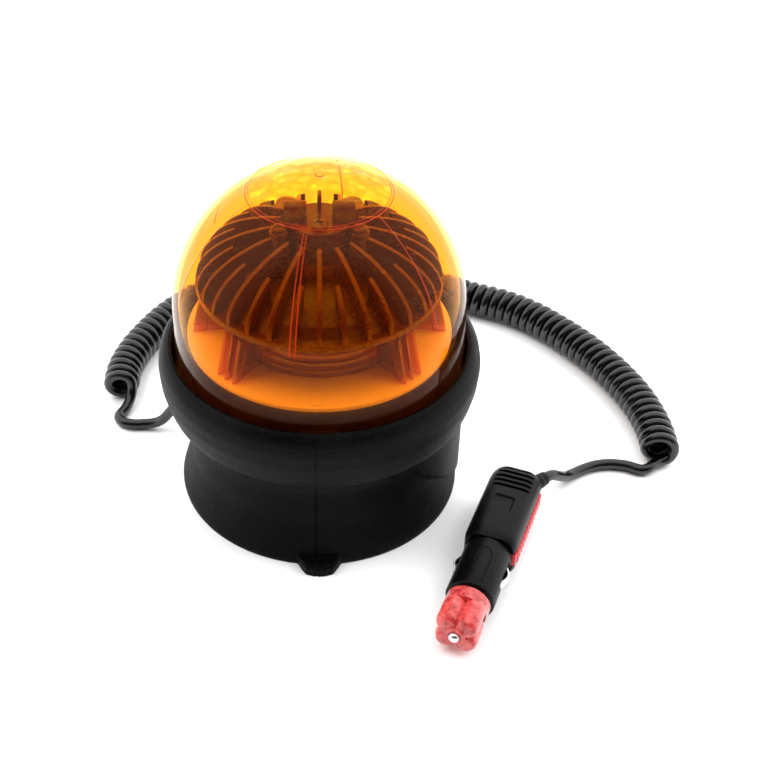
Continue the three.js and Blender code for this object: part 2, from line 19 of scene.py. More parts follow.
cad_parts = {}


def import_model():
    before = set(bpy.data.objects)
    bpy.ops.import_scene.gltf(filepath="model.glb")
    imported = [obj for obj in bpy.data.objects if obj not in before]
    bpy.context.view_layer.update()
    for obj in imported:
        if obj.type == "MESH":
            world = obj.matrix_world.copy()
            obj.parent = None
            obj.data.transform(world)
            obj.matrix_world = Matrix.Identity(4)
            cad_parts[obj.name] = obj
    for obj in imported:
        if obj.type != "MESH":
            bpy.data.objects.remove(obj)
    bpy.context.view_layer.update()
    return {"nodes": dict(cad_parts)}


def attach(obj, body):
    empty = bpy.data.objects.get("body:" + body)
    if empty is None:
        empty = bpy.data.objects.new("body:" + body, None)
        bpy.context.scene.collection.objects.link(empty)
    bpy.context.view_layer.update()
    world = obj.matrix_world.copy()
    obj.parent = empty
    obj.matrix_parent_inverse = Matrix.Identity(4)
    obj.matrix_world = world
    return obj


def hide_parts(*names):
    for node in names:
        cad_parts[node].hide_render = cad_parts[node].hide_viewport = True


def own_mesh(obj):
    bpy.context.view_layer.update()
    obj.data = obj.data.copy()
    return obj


LOG = logging.getLogger("beacon")
MM = 0.001
FRONT = -90.0
GLAND_ANGLE = 160.5
GLAND_Z = 20.4
SEAM_X = -1.2
BAYONET = (30.0, 150.0, 270.0)
CLOUD_MM = 26.0
SCUFF_MM = 3.2
TARNISH_MM = 9.0
GLANCE_POWER = 6.0
GLANCE_SHARE = 0.9
MIRROR_TINT = (1.0, 0.9, 0.84)
SHARP_DEGREES = 38.0
Colour = tuple[float, float, float]
Outline = Sequence[tuple[float, float]]


# ---------- Shader maths ----------


class Val:
    """A number socket; Python's operators add Math nodes to its tree."""

    def __init__(self, tree: bpy.types.NodeTree, socket: bpy.types.NodeSocket) -> None:
        """Wraps a socket of a tree."""
        self.tree = tree
        self.socket = socket

    def maths(self, operation: str, *others: "Val | float", swapped: bool = False) -> "Val":
        """Adds one Math node.

        Args:
            operation: the node's operation.
            others: its other operands.
            swapped: True puts this value second.

        Returns:
            The node's result.
        """
        node = self.tree.nodes.new("ShaderNodeMath")
        node.operation = operation
        operands = [self, *others]
        if swapped:
            operands.reverse()
        for slot, operand in zip(node.inputs, operands):
            if isinstance(operand, Val):
                self.tree.links.new(operand.socket, slot)
            else:
                slot.default_value = operand
        return Val(self.tree, node.outputs[0])

    def __add__(self, other: "Val | float") -> "Val":
        """Sum."""
        return self.maths("ADD", other)

    __radd__ = __add__

    def __sub__(self, other: "Val | float") -> "Val":
        """Difference."""
        return self.maths("SUBTRACT", other)

    def __rsub__(self, other: float) -> "Val":
        """Difference, reflected."""
        return self.maths("SUBTRACT", other, swapped=True)

    def __mul__(self, other: "Val | float") -> "Val":
        """Product."""
        return self.maths("MULTIPLY", other)

    __rmul__ = __mul__

    def __truediv__(self, other: "Val | float") -> "Val":
        """Quotient."""
        return self.maths("DIVIDE", other)

    def __pow__(self, other: float) -> "Val":
        """Power."""
        return self.maths("POWER", other)

    def __abs__(self) -> "Val":
        """Size without sign."""
        return self.maths("ABSOLUTE")

    def below(self, limit: float, soft: float) -> "Val":
        """1 where this is under the limit, falling to 0 over the soft width.

        Args:
            limit: where the fall ends.
            soft: the width of the fall.

        Returns:
            A value of 0 to 1.
        """
        fall = (limit - self) / soft
        fall = fall.maths("MAXIMUM", 0.0)
        return fall.maths("MINIMUM", 1.0)


class NodeWork:
    """A node tree and the one method that adds nodes to it."""

    def __init__(self, tree: bpy.types.NodeTree) -> None:
        """Takes the tree to work on."""
        self.tree = tree

    def node(self, kind: str, settings: dict | None = None, inputs: dict | None = None) -> bpy.types.Node:
        """Adds a node.

        Args:
            kind: the node's type.
            settings: attributes that are set first, such as a Math node's operation.
            inputs: values or links by socket name or number.

        Returns:
            The node.
        """
        node = self.tree.nodes.new(kind)
        for key, value in (settings or {}).items():
            setattr(node, key, value)
        for key, value in (inputs or {}).items():
            slot = node.inputs[key]
            if isinstance(value, Val):
                value = value.socket
            if isinstance(value, bpy.types.NodeSocket):
                self.tree.links.new(value, slot)
            elif isinstance(value, tuple) and len(value) == 3 and slot.type == "RGBA":
                slot.default_value = (*value, 1.0)
            else:
                slot.default_value = value
        return node


class Paint(NodeWork):
    """One material's nodes."""

    def __init__(self, name: str) -> None:
        """Starts an empty node material that reads object coordinates."""
        self.material = bpy.data.materials.new(name + "_finish")
        self.material.use_nodes = True
        super().__init__(self.material.node_tree)
        self.tree.nodes.clear()
        self.place = self.node("ShaderNodeTexCoord").outputs["Object"]

    def val(self, socket: bpy.types.NodeSocket) -> Val:
        """A number socket of this tree."""
        return Val(self.tree, socket)

    def noise(self, size_mm: float, detail: float = 3.0, stretch: Colour = (1.0, 1.0, 1.0)) -> Val:
        """Soft noise.

        Args:
            size_mm: the usual size of a patch.
            detail: octaves.
            stretch: scale of each axis before the noise.

        Returns:
            A value of about 0 to 1.
        """
        scaled = self.node("ShaderNodeMapping", inputs={"Vector": self.place, "Scale": stretch})
        made = self.node(
            "ShaderNodeTexNoise",
            inputs={"Vector": scaled.outputs[0], "Scale": 1 / (size_mm * MM), "Detail": detail},
        )
        return self.val(made.outputs["Fac"])

    def cells(self, size_mm: float, feature: str = "F1") -> Val:
        """Cell pattern: the distance to the nearest cell's middle.

        Args:
            size_mm: the usual size of a cell.
            feature: the cell feature.

        Returns:
            The distance in cell sizes.
        """
        made = self.node(
            "ShaderNodeTexVoronoi",
            {"feature": feature},
            {"Vector": self.place, "Scale": 1 / (size_mm * MM)},
        )
        return self.val(made.outputs["Distance"])

    def axis(self, name: str) -> Val:
        """One object coordinate in metres."""
        return self.val(self.node("ShaderNodeSeparateXYZ", inputs={0: self.place}).outputs[name])

    def blend(self, share: Val, first: Colour, second: Colour) -> bpy.types.NodeSocket:
        """A colour between two.

        Args:
            share: 0 gives the first colour and 1 the second.
            first: the first colour.
            second: the second colour.

        Returns:
            The colour socket.
        """
        made = self.node(
            "ShaderNodeMix", {"data_type": "RGBA", "clamp_factor": True}, {0: share, 6: first, 7: second}
        )
        return made.outputs[2]

    def bump(self, height: Val, depth_mm: float) -> bpy.types.NodeSocket:
        """A normal from a height of 0 to 1 that stands for this many millimetres."""
        sockets = {"Strength": 1.0, "Distance": depth_mm * MM, "Height": height}
        return self.node("ShaderNodeBump", inputs=sockets).outputs[0]

    def principled(self, inputs: dict) -> bpy.types.Node:
        """A Principled shader with these sockets."""
        return self.node("ShaderNodeBsdfPrincipled", inputs=inputs)

    def mixed(self, share: Val | float, first: bpy.types.Node, second: bpy.types.Node) -> bpy.types.Node:
        """A Mix Shader of two shader nodes."""
        return self.node("ShaderNodeMixShader", inputs={0: share, 1: first.outputs[0], 2: second.outputs[0]})

    def finish(self, shader: bpy.types.Node) -> bpy.types.Material:
        """Connects the shader and gives the material."""
        self.node("ShaderNodeOutputMaterial", inputs={"Surface": shader.outputs[0]})
        return self.material


# ---------- Finishes ----------


@dataclass(frozen=True)
class Moulded:
    """A moulded rubber or plastic: a grain, a cloudy tone and scattered scuffs."""

    name: str
    tone: Colour
    pale: Colour
    roughness: float
    grain_mm: float = 0.45
    grain_depth_mm: float = 0.05
    specular: float = 0.3
    coat: float = 0.0
    seam_x_mm: float | None = None

    def paint(self) -> bpy.types.Material:
        """Builds the material."""
        paint = Paint(self.name)
        grain = paint.noise(self.grain_mm, 2.0)
        cloud = paint.noise(CLOUD_MM, 4.0)
        scuff = paint.noise(SCUFF_MM, 5.0, (1.0, 1.0, 2.4))
        share = (cloud - 0.42) * 1.6 + (grain - 0.5) * 0.7 + (scuff - 0.5) * 0.8
        rough = self.roughness + (cloud - 0.5) * 0.16 + (scuff - 0.5) * 0.14
        height = grain + scuff * 0.35
        if self.seam_x_mm is not None:
            beside = abs(paint.axis("X") - self.seam_x_mm * MM)
            seam = beside.below(0.0007, 0.0005) * paint.axis("Y").below(-0.04, 0.005)
            # The seam is a shallow groove in the bump and is also darkened a little in colour: painted shade
            # in the groove.
            height = height - seam * 0.8
            share = share - seam * 0.3
        shader = paint.principled(
            {
                "Base Color": paint.blend(share, self.tone, self.pale),
                "Roughness": rough,
                "Specular IOR Level": self.specular,
                "Coat Weight": self.coat,
                "Coat Roughness": 0.25,
                "Normal": paint.bump(height, self.grain_depth_mm),
            }
        )
        return paint.finish(shader)


@dataclass(frozen=True)
class Metal:
    """A worked metal: brushed along one axis, with a slight tarnish."""

    name: str
    tone: Colour
    dull: Colour
    roughness: float
    metallic: float = 1.0
    brushed: Colour = (1.0, 1.0, 14.0)
    line_mm: float = 1.6

    def paint(self) -> bpy.types.Material:
        """Builds the material."""
        paint = Paint(self.name)
        lines = paint.noise(self.line_mm, 3.0, self.brushed)
        tarnish = paint.noise(TARNISH_MM, 4.0)
        pits = paint.noise(0.3, 2.0)
        shader = paint.principled(
            {
                "Base Color": paint.blend((tarnish - 0.4) * 2.0 + (lines - 0.5) * 0.6, self.tone, self.dull),
                "Metallic": self.metallic,
                "Roughness": self.roughness + (tarnish - 0.5) * 0.18 + (lines - 0.5) * 0.12,
                "Normal": paint.bump(lines + pits * 0.4, 0.02),
            }
        )
        return paint.finish(shader)


@dataclass(frozen=True)
class ClearPlastic:
    """A clear tinted plastic that is see-through head on and mirrors at a glancing angle."""

    name: str
    tint: Colour
    haze: Colour
    haze_share: float
    gloss: float = 0.03
    mirror: float = 0.05
    crown: Colour | None = None
    crown_radius_mm: float = 0.0
    crown_z_mm: float = 0.0

    def paint(self) -> bpy.types.Material:
        """Builds the material."""
        paint = Paint(self.name)
        flow = paint.noise(18.0, 3.0)
        dust = paint.noise(0.9, 4.0)
        ripple = paint.bump(flow + dust * 0.05, 0.12)
        facing = paint.val(paint.node("ShaderNodeLayerWeight", inputs={"Blend": 0.5}).outputs["Facing"])
        glancing = self.mirror + (facing**GLANCE_POWER) * (GLANCE_SHARE - self.mirror)
        clear = paint.node("ShaderNodeBsdfTransparent", inputs={"Color": self.tint})
        # The dimpled disc gets a paler tint in spots: painted highlights in the dimples.
        if self.crown is not None:
            pale = paint.node("ShaderNodeBsdfTransparent", inputs={"Color": self.crown})
            clear = paint.mixed(self.dimple_highlights(paint), clear, pale)
        mirror = paint.node(
            "ShaderNodeBsdfGlossy", inputs={"Color": MIRROR_TINT, "Roughness": self.gloss, "Normal": ripple}
        )
        haze = paint.principled(
            {
                "Base Color": paint.blend(dust, self.haze, tuple(min(1.0, c * 1.25) for c in self.haze)),
                "Roughness": 0.35 + (flow - 0.5) * 0.2,
                "Specular IOR Level": 0.12,
                "Normal": ripple,
            }
        )
        body = paint.mixed(self.haze_share * (0.6 + flow * 0.8), clear, haze)
        return paint.finish(paint.mixed(glancing, body, mirror))

    def dimple_highlights(self, paint: Paint) -> Val:
        """The share of the paler tint in the dimpled disc at the top: painted highlights in the dimples.

        Args:
            paint: the material's nodes.

        Returns:
            The share.
        """
        x, y, z = (paint.axis(name) for name in "XYZ")
        radius = (x * x + y * y) ** 0.5
        disc = radius.below(self.crown_radius_mm * MM, 0.0006) * (1.0 - z.below(self.crown_z_mm * MM, 0.001))
        cells = paint.cells(5.2)
        blobs = paint.noise(6.0, 2.0)
        return disc * ((0.48 - cells) * 4.5 + (blobs - 0.48) * 4.0)


@dataclass(frozen=True)
class TranslucentPlastic:
    """A coloured plastic that light soaks into, with a glossy skin."""

    name: str
    tone: Colour
    deep: Colour
    tint: Colour
    clear_share: float
    roughness: float = 0.16

    def paint(self) -> bpy.types.Material:
        """Builds the material."""
        paint = Paint(self.name)
        cloud = paint.noise(2.6, 3.0)
        fine = paint.noise(0.7, 3.0)
        normal = paint.bump(cloud + fine * 0.25, 0.8)
        solid = paint.principled(
            {
                "Base Color": paint.blend((cloud - 0.35) * 2.2, self.tone, self.deep),
                "Roughness": self.roughness + (fine - 0.5) * 0.14,
                "Coat Weight": 1.0,
                "Coat Roughness": 0.04,
                "Normal": normal,
            }
        )
        clear = paint.node("ShaderNodeBsdfTransparent", inputs={"Color": self.tint})
        facing = paint.val(paint.node("ShaderNodeLayerWeight", inputs={"Blend": 0.5}).outputs["Facing"])
        share = self.clear_share * (1.0 - facing) * (0.7 + cloud * 0.6)
        return paint.finish(paint.mixed(share, solid, clear))


@dataclass(frozen=True)
class Board:
    """A circuit board: solder mask over faint copper tracks and bright pads."""

    name: str
    mask: Colour
    track: Colour
    pad: Colour

    def paint(self) -> bpy.types.Material:
        """Builds the material."""
        paint = Paint(self.name)
        tracks = paint.cells(5.0, "DISTANCE_TO_EDGE").below(0.16, 0.03)
        pads = paint.cells(4.4).below(0.17, 0.02)
        weave = paint.noise(0.5, 2.0)
        colour = paint.blend(tracks * 0.8 + (weave - 0.5) * 0.4, self.mask, self.track)
        mixed = paint.node("ShaderNodeMix", {"data_type": "RGBA"}, {0: pads, 6: colour, 7: self.pad})
        shader = paint.principled(
            {
                "Base Color": mixed.outputs[2],
                "Metallic": pads * 0.8,
                "Roughness": 0.34 - pads * 0.1 + (weave - 0.5) * 0.1,
                "Normal": paint.bump(tracks * 0.6 + pads, 0.05),
            }
        )
        return paint.finish(shader)


class Finish(Enum):
    """The beacon's finishes; each holds its recipe."""

    BOOT = Moulded(
        "boot_rubber", (0.0006, 0.0007, 0.0007), (0.0065, 0.0074, 0.0072), 0.47, 0.7, 0.3, 0.06, 0.0, SEAM_X
    )
    SOFT = Moulded("soft_rubber", (0.0015, 0.0015, 0.0015), (0.006, 0.006, 0.0064), 0.56, 0.35, 0.04, 0.25)
    CORD = Moulded("cord_jacket", (0.0012, 0.0012, 0.0014), (0.006, 0.006, 0.0066), 0.21, 0.6, 0.05, 0.5)
    HOUSING = Moulded("housing_plastic", (0.02, 0.009, 0.008), (0.05, 0.026, 0.024), 0.35, 0.35, 0.03, 0.45)
    PLUG = Moulded("plug_plastic", (0.0015, 0.0015, 0.0017), (0.005, 0.0053, 0.0055), 0.3, 0.4, 0.08, 0.11)
    SINK = Moulded("anodised_black", (0.06, 0.014, 0.01), (0.1, 0.024, 0.018), 0.26, 0.8, 0.004, 0.6)
    REFLECTOR = Moulded("white_reflector", (0.86, 0.84, 0.8), (0.93, 0.92, 0.9), 0.3, 0.8, 0.02, 0.5, 0.3)
    FERRITE = Moulded("magnet_ferrite", (0.03, 0.03, 0.032), (0.075, 0.073, 0.072), 0.6, 0.6, 0.06, 0.4)
    WHITE = Moulded("package_white", (0.72, 0.72, 0.7), (0.82, 0.82, 0.8), 0.4, 0.4, 0.02, 0.5)
    PHOSPHOR = Moulded("led_phosphor", (0.85, 0.5, 0.05), (0.95, 0.68, 0.16), 0.2, 0.4, 0.02, 0.5, 0.5)
    RED_SLIDE = Moulded("red_slide", (0.62, 0.02, 0.03), (0.78, 0.06, 0.07), 0.32, 0.5, 0.03, 0.5, 0.3)
    STEEL = Metal("steel", (0.66, 0.67, 0.69), (0.46, 0.46, 0.47), 0.24)
    ALUMINIUM = Metal("aluminium", (0.7, 0.71, 0.72), (0.55, 0.55, 0.56), 0.34)
    BRASS = Metal("brass", (0.78, 0.55, 0.22), (0.5, 0.33, 0.13), 0.28)
    # The crown tint is the paler amber of the painted highlights in the dimpled disc.
    AMBER = ClearPlastic(
        "amber_lens", (1.0, 0.7, 0.22), (0.95, 0.15, 0.03), 0.01, 0.03, 0.007, (1.0, 0.92, 0.42), 30.0, 150.0
    )
    # Darker red lines on the lens: painted shade along the mould lines and the ring's edges; the ridges under
    # them are real.
    LINE = ClearPlastic("mould_line_shade", (0.85, 0.3, 0.1), (0.5, 0.035, 0.004), 0.6, 0.15, 0.0)
    OPTIC = ClearPlastic("clear_optic", (0.86, 0.5, 0.4), (0.6, 0.18, 0.09), 0.07, 0.03, 0.1)
    FUSE = ClearPlastic("fuse_glass", (0.93, 0.96, 0.95), (0.7, 0.75, 0.74), 0.12, 0.04, 0.06)
    RED_CLEAR = TranslucentPlastic(
        "red_plastic", (0.86, 0.12, 0.11), (0.26, 0.0, 0.006), (1.0, 0.36, 0.33), 0.62
    )
    BOARD = Board("circuit_board", (0.012, 0.12, 0.045), (0.03, 0.22, 0.08), (0.72, 0.6, 0.34))

    def material(self) -> bpy.types.Material:
        """The finish's material, made once."""
        found = bpy.data.materials.get(self.value.name + "_finish")
        return found or self.value.paint()


# ---------- Mesh work ----------


class Ends(Enum):
    """What closes a run of rings."""

    OPEN = 0
    CAPPED = 1
    LOOPED = 2


class Form:
    """Points and faces in millimetres that grow into one mesh."""

    def __init__(self) -> None:
        """Starts empty."""
        self.points: list[tuple[float, float, float]] = []
        self.faces: list[tuple[int, ...]] = []
        self.slots: list[int] = []

    def rings(self, rings: np.ndarray, ends: Ends = Ends.CAPPED, slot: int = 0) -> "Form":
        """Joins rings of points by quads.

        Args:
            rings: an array of rings, points and coordinates.
            ends: what closes the first and last ring.
            slot: the material slot of the faces.

        Returns:
            This form.
        """
        count, around, _ = rings.shape
        base = len(self.points)
        self.points += [tuple(point) for point in rings.reshape(-1, 3).tolist()]
        last = count if ends is Ends.LOOPED else count - 1
        made: list[tuple[int, ...]] = []
        for i in range(last):
            low, high = base + i * around, base + (i + 1) % count * around
            for j in range(around):
                k = (j + 1) % around
                made.append((low + j, low + k, high + k, high + j))
        if ends is Ends.CAPPED:
            made.append(tuple(base + j for j in reversed(range(around))))
            made.append(tuple(base + (count - 1) * around + j for j in range(around)))
        self.faces += made
        self.slots += [slot] * len(made)
        return self

    def turned(
        self,
        outline: Outline,
        steps: int = 128,
        slot: int = 0,
        shape: Callable[[np.ndarray, float, float], np.ndarray] | None = None,
    ) -> "Form":
        """Turns an outline about Z.

        Args:
            outline: [radius, height] pairs, closed or with both ends on the axis.
            steps: sides of the round.
            slot: the material slot.
            shape: gives the points of a ring from their angles in degrees, radius and height.

        Returns:
            This form.
        """
        angles = np.arange(steps) * 360.0 / steps
        rows = [shape(angles, r, z) if shape else round_row(angles, r, z) for r, z in outline]
        poles = outline[0][0] == 0 and outline[-1][0] == 0
        return self.rings(np.array(rows), Ends.OPEN if poles else Ends.LOOPED, slot)

    def build(self, name: str, finishes: Sequence[Finish], place: Matrix | None = None) -> bpy.types.Object:
        """Makes the object.

        Args:
            name: the object's name.
            finishes: a finish for each slot.
            place: a turn and shift in millimetres.

        Returns:
            The object, in metres, with its faces pointing out.
        """
        mesh = bpy.data.meshes.new(name)
        mesh.from_pydata(self.points, [], self.faces)
        mesh.polygons.foreach_set("material_index", self.slots)
        work = bmesh.new()
        work.from_mesh(mesh)
        bmesh.ops.remove_doubles(work, verts=work.verts, dist=1e-4)
        bmesh.ops.recalc_face_normals(work, faces=work.faces)
        work.to_mesh(mesh)
        work.free()
        mesh.transform(Matrix.Scale(MM, 4) @ (place or Matrix.Identity(4)))
        obj = bpy.data.objects.new(name, mesh)
        bpy.context.scene.collection.objects.link(obj)
        for finish in finishes:
            mesh.materials.append(finish.material())
        return smoothed(obj)


def round_row(angles: np.ndarray, radius: float | np.ndarray, height: float) -> np.ndarray:
    """A ring of points about Z, from angles in degrees."""
    turn = np.radians(angles)
    return np.stack([radius * np.cos(turn), radius * np.sin(turn), height + 0 * turn], 1)


def apart(angles: np.ndarray | float, middle: float) -> np.ndarray | float:
    """How far angles in degrees lie from a middle, from -180 to 180."""
    return (angles - middle + 180) % 360 - 180


def smoothed(obj: bpy.types.Object, degrees: float = SHARP_DEGREES) -> bpy.types.Object:
    """Shades smooth up to this angle between faces.

    Args:
        obj: the object.
        degrees: the angle past which an edge stays sharp.

    Returns:
        The object.
    """
    obj.data.shade_smooth()
    obj.data.set_sharp_from_angle(angle=math.radians(degrees))
    return obj


def rounded(
    outline: Outline, radius: float, steps: int = 3, closed: bool = True
) -> list[tuple[float, float]]:
    """Rounds an outline's corners.

    Args:
        outline: the corners.
        radius: how far from a corner its rounding starts.
        steps: points in each rounding, less one.
        closed: False keeps the first and last corner as they are.

    Returns:
        The new outline.
    """
    corners = [np.array(corner, float) for corner in outline]
    made: list[tuple[float, float]] = []
    for i, corner in enumerate(corners):
        if not closed and i in (0, len(corners) - 1):
            made.append(tuple(corner))
            continue
        before = corners[i - 1] - corner
        after = corners[(i + 1) % len(corners)] - corner
        start = corner + before * min(radius / np.linalg.norm(before), 0.45)
        end = corner + after * min(radius / np.linalg.norm(after), 0.45)
        for t in np.linspace(0, 1, steps + 1):
            made.append(tuple((1 - t) ** 2 * start + 2 * t * (1 - t) * corner + t**2 * end))
    return made


def spaced(points: Sequence[Sequence[float]], step: float) -> np.ndarray:
    """Points an even step apart along a polyline, ends kept.

    Args:
        points: the polyline.
        step: the distance between points.

    Returns:
        The new points.
    """
    line = np.array(points, float)
    lengths = np.linalg.norm(np.diff(line, axis=0), axis=1)
    along = np.concatenate([[0.0], np.cumsum(lengths)])
    marks = np.linspace(0, along[-1], max(2, round(along[-1] / step) + 1))
    return np.stack([np.interp(marks, along, line[:, k]) for k in range(line.shape[1])], 1)


def curve_through(points: Sequence[Sequence[float]], step: float) -> np.ndarray:
    """A smooth curve through points, centripetal, an even step apart.

    Args:
        points: the points, in two or three coordinates.
        step: the distance between the new points.

    Returns:
        The new points.
    """
    line = np.array(points, float)
    line = np.concatenate([[2 * line[0] - line[1]], line, [2 * line[-1] - line[-2]]])
    knots = np.concatenate([[0.0], np.cumsum(np.linalg.norm(np.diff(line, axis=0), axis=1) ** 0.5)])
    made = []
    for i in range(1, len(line) - 2):
        t0, t1, t2, t3 = knots[i - 1 : i + 3]
        for t in np.linspace(t1, t2, 24, endpoint=i == len(line) - 3):
            a1 = ((t1 - t) * line[i - 1] + (t - t0) * line[i]) / (t1 - t0)
            a2 = ((t2 - t) * line[i] + (t - t1) * line[i + 1]) / (t2 - t1)
            a3 = ((t3 - t) * line[i + 1] + (t - t2) * line[i + 2]) / (t3 - t2)
            b1 = ((t2 - t) * a1 + (t - t0) * a2) / (t2 - t0)
            b2 = ((t3 - t) * a2 + (t - t1) * a3) / (t3 - t1)
            made.append(((t2 - t) * b1 + (t - t1) * b2) / (t2 - t1))
    return spaced(made, step)


def step_up(value: np.ndarray | float, low: float, high: float) -> np.ndarray:
    """0 under low, 1 over high and a smooth rise between."""
    t = np.clip((np.asarray(value, float) - low) / (high - low), 0.0, 1.0)
    return t * t * (3 - 2 * t)


def plate(outline: Outline, half: float, edge: float = 0.35) -> Form:
    """A plate on edge in the X-Z plane with softened edges.

    Args:
        outline: [x, z] corners.
        half: half its thickness.
        edge: how far the edges are softened.

    Returns:
        The form.
    """
    points = np.array(outline, float)
    middle = points.mean(0)
    inset = middle + (points - middle) * (1 - edge / np.abs(points - middle).max())
    rows = [(inset, -half), (points, -half + edge), (points, half - edge), (inset, half)]
    rings = [np.stack([line[:, 0], np.full(len(line), y), line[:, 1]], 1) for line, y in rows]
    return Form().rings(np.array(rings))


def box_form(low: Sequence[float], high: Sequence[float], edge: float) -> Form:
    """A box with rounded upright edges and softened top and bottom.

    Args:
        low: its lowest corner.
        high: its highest corner.
        edge: how far the edges are rounded.

    Returns:
        The form.
    """
    (x0, y0, z0), (x1, y1, z1) = low, high
    middle = np.array([(x0 + x1) / 2, (y0 + y1) / 2])
    flat = np.array(rounded([(x0, y0), (x1, y0), (x1, y1), (x0, y1)], edge, 4))
    small = middle + (flat - middle) * (1 - edge * 0.6 / np.abs(flat - middle).max())
    rows = [(small, z0), (flat, z0 + edge * 0.6), (flat, z1 - edge * 0.6), (small, z1)]
    return Form().rings(np.array([np.column_stack([line, np.full(len(line), z)]) for line, z in rows]))


def baked(obj: bpy.types.Object) -> bpy.types.Object:
    """Turns an object's modifiers into its plain mesh.

    Args:
        obj: the object.

    Returns:
        The object.
    """
    graph = bpy.context.evaluated_depsgraph_get()
    mesh = bpy.data.meshes.new_from_object(obj.evaluated_get(graph), depsgraph=graph)
    old, name = obj.data, obj.data.name
    obj.modifiers.clear()
    obj.data = mesh
    if old.users == 0 and isinstance(old, bpy.types.Mesh):
        bpy.data.meshes.remove(old)
    mesh.name = name
    return obj


def carved(
    obj: bpy.types.Object, tools: Sequence[bpy.types.Object], how: str = "DIFFERENCE"
) -> bpy.types.Object:
    """Cuts or meets an object with tools, which are used up.

    Args:
        obj: the object.
        tools: the closed meshes to cut or meet with.
        how: the boolean operation.

    Returns:
        The object with a plain mesh.
    """
    for tool in tools:
        change = obj.modifiers.new("carve", "BOOLEAN")
        change.operation = how
        change.object = tool
        change.solver = "MANIFOLD"
    baked(obj)
    for tool in tools:
        bpy.data.objects.remove(tool)
    return smoothed(obj)


def joined(name: str, parts: Sequence[bpy.types.Object]) -> bpy.types.Object:
    """Makes one mesh of several objects, which are used up.

    Args:
        name: the new object's name.
        parts: the objects; the finishes of all are kept.

    Returns:
        The new object.
    """
    work = bmesh.new()
    materials: list[bpy.types.Material] = []
    for part in parts:
        places = []
        for material in part.data.materials:
            if material not in materials:
                materials.append(material)
            places.append(materials.index(material))
        start = len(work.faces)
        work.from_mesh(part.data)
        work.faces.ensure_lookup_table()
        for face in work.faces[start:]:
            face.material_index = places[min(face.material_index, len(places) - 1)]
    mesh = bpy.data.meshes.new(name)
    work.to_mesh(mesh)
    work.free()
    for part in parts:
        bpy.data.objects.remove(part)
    made = bpy.data.objects.new(name, mesh)
    bpy.context.scene.collection.objects.link(made)
    for material in materials:
        mesh.materials.append(material)
    return smoothed(made)


# ---------- Geometry rules ----------


class Rule(NodeWork):
    """One Geometry Nodes tree with named number inputs."""

    def __init__(self, name: str) -> None:
        """Starts a tree with its geometry going in and out."""
        super().__init__(bpy.data.node_groups.new(name, "GeometryNodeTree"))
        self.tree.interface.new_socket("Geometry", in_out="INPUT", socket_type="NodeSocketGeometry")
        self.tree.interface.new_socket("Geometry", in_out="OUTPUT", socket_type="NodeSocketGeometry")
        self.entry = self.tree.nodes.new("NodeGroupInput")
        self.exit = self.tree.nodes.new("NodeGroupOutput")

    def number(self, name: str, whole: bool = False) -> bpy.types.NodeSocket:
        """A named number that goes in, whole or not."""
        kind = "NodeSocketInt" if whole else "NodeSocketFloat"
        self.tree.interface.new_socket(name, in_out="INPUT", socket_type=kind)
        return self.entry.outputs[name]

    def close(self, geometry: bpy.types.NodeSocket, finish: Finish) -> None:
        """Ends the tree in Realize Instances and Set Material."""
        real = self.node("GeometryNodeRealizeInstances", inputs={"Geometry": geometry})
        dressed = self.node(
            "GeometryNodeSetMaterial", inputs={"Geometry": real.outputs[0], "Material": finish.material()}
        )
        self.tree.links.new(dressed.outputs[0], self.exit.inputs[0])

    def grow(self, obj: bpy.types.Object, numbers: dict[str, float]) -> bpy.types.Object:
        """Runs the tree on an object and keeps its result as a plain mesh.

        Args:
            obj: the object that goes in.
            numbers: the named inputs.

        Returns:
            The object, or a mesh object in a curve's stead.
        """
        modifier = obj.modifiers.new(self.tree.name, "NODES")
        modifier.node_group = self.tree
        sockets = {s.name: s.identifier for s in self.tree.interface.items_tree if s.in_out == "INPUT"}
        for name, value in numbers.items():
            modifier[sockets[name]] = value
        if obj.type == "MESH":
            return smoothed(baked(obj))
        graph = bpy.context.evaluated_depsgraph_get()
        mesh = bpy.data.meshes.new_from_object(obj.evaluated_get(graph), depsgraph=graph)
        made = bpy.data.objects.new(obj.name + "_mesh", mesh)
        bpy.context.scene.collection.objects.link(made)
        bpy.data.objects.remove(obj)
        return smoothed(made)


def spin_rule(finish: Finish) -> Rule:
    """Copies turned about Z: inputs Count, First and Step, the last two in radians.

    Args:
        finish: the copies' finish.

    Returns:
        The rule.
    """
    rule = Rule("spin_copies_" + finish.name.lower())
    count = rule.number("Count", whole=True)
    first, step = rule.number("First"), rule.number("Step")
    line = rule.node("GeometryNodeMeshLine", inputs={"Count": count, "Offset": (0.0, 0.0, 0.0)})
    index = rule.node("GeometryNodeInputIndex")
    turn = rule.node(
        "ShaderNodeMath", {"operation": "MULTIPLY_ADD"}, {0: index.outputs[0], 1: step, 2: first}
    )
    angle = rule.node("ShaderNodeCombineXYZ", inputs={"Z": turn.outputs[0]})
    copies = rule.node(
        "GeometryNodeInstanceOnPoints",
        inputs={"Points": line.outputs[0], "Instance": rule.entry.outputs[0], "Rotation": angle.outputs[0]},
    )
    rule.close(copies.outputs[0], finish)
    return rule


def row_rule(finish: Finish) -> Rule:
    """Copies in a row: inputs Count and the step's X, Y and Z in metres.

    Args:
        finish: the copies' finish.

    Returns:
        The rule.
    """
    rule = Rule("row_copies_" + finish.name.lower())
    count = rule.number("Count", whole=True)
    offset = rule.node("ShaderNodeCombineXYZ", inputs={axis: rule.number(axis) for axis in "XYZ"})
    line = rule.node("GeometryNodeMeshLine", inputs={"Count": count, "Offset": offset.outputs[0]})
    copies = rule.node(
        "GeometryNodeInstanceOnPoints",
        inputs={"Points": line.outputs[0], "Instance": rule.entry.outputs[0]},
    )
    rule.close(copies.outputs[0], finish)
    return rule


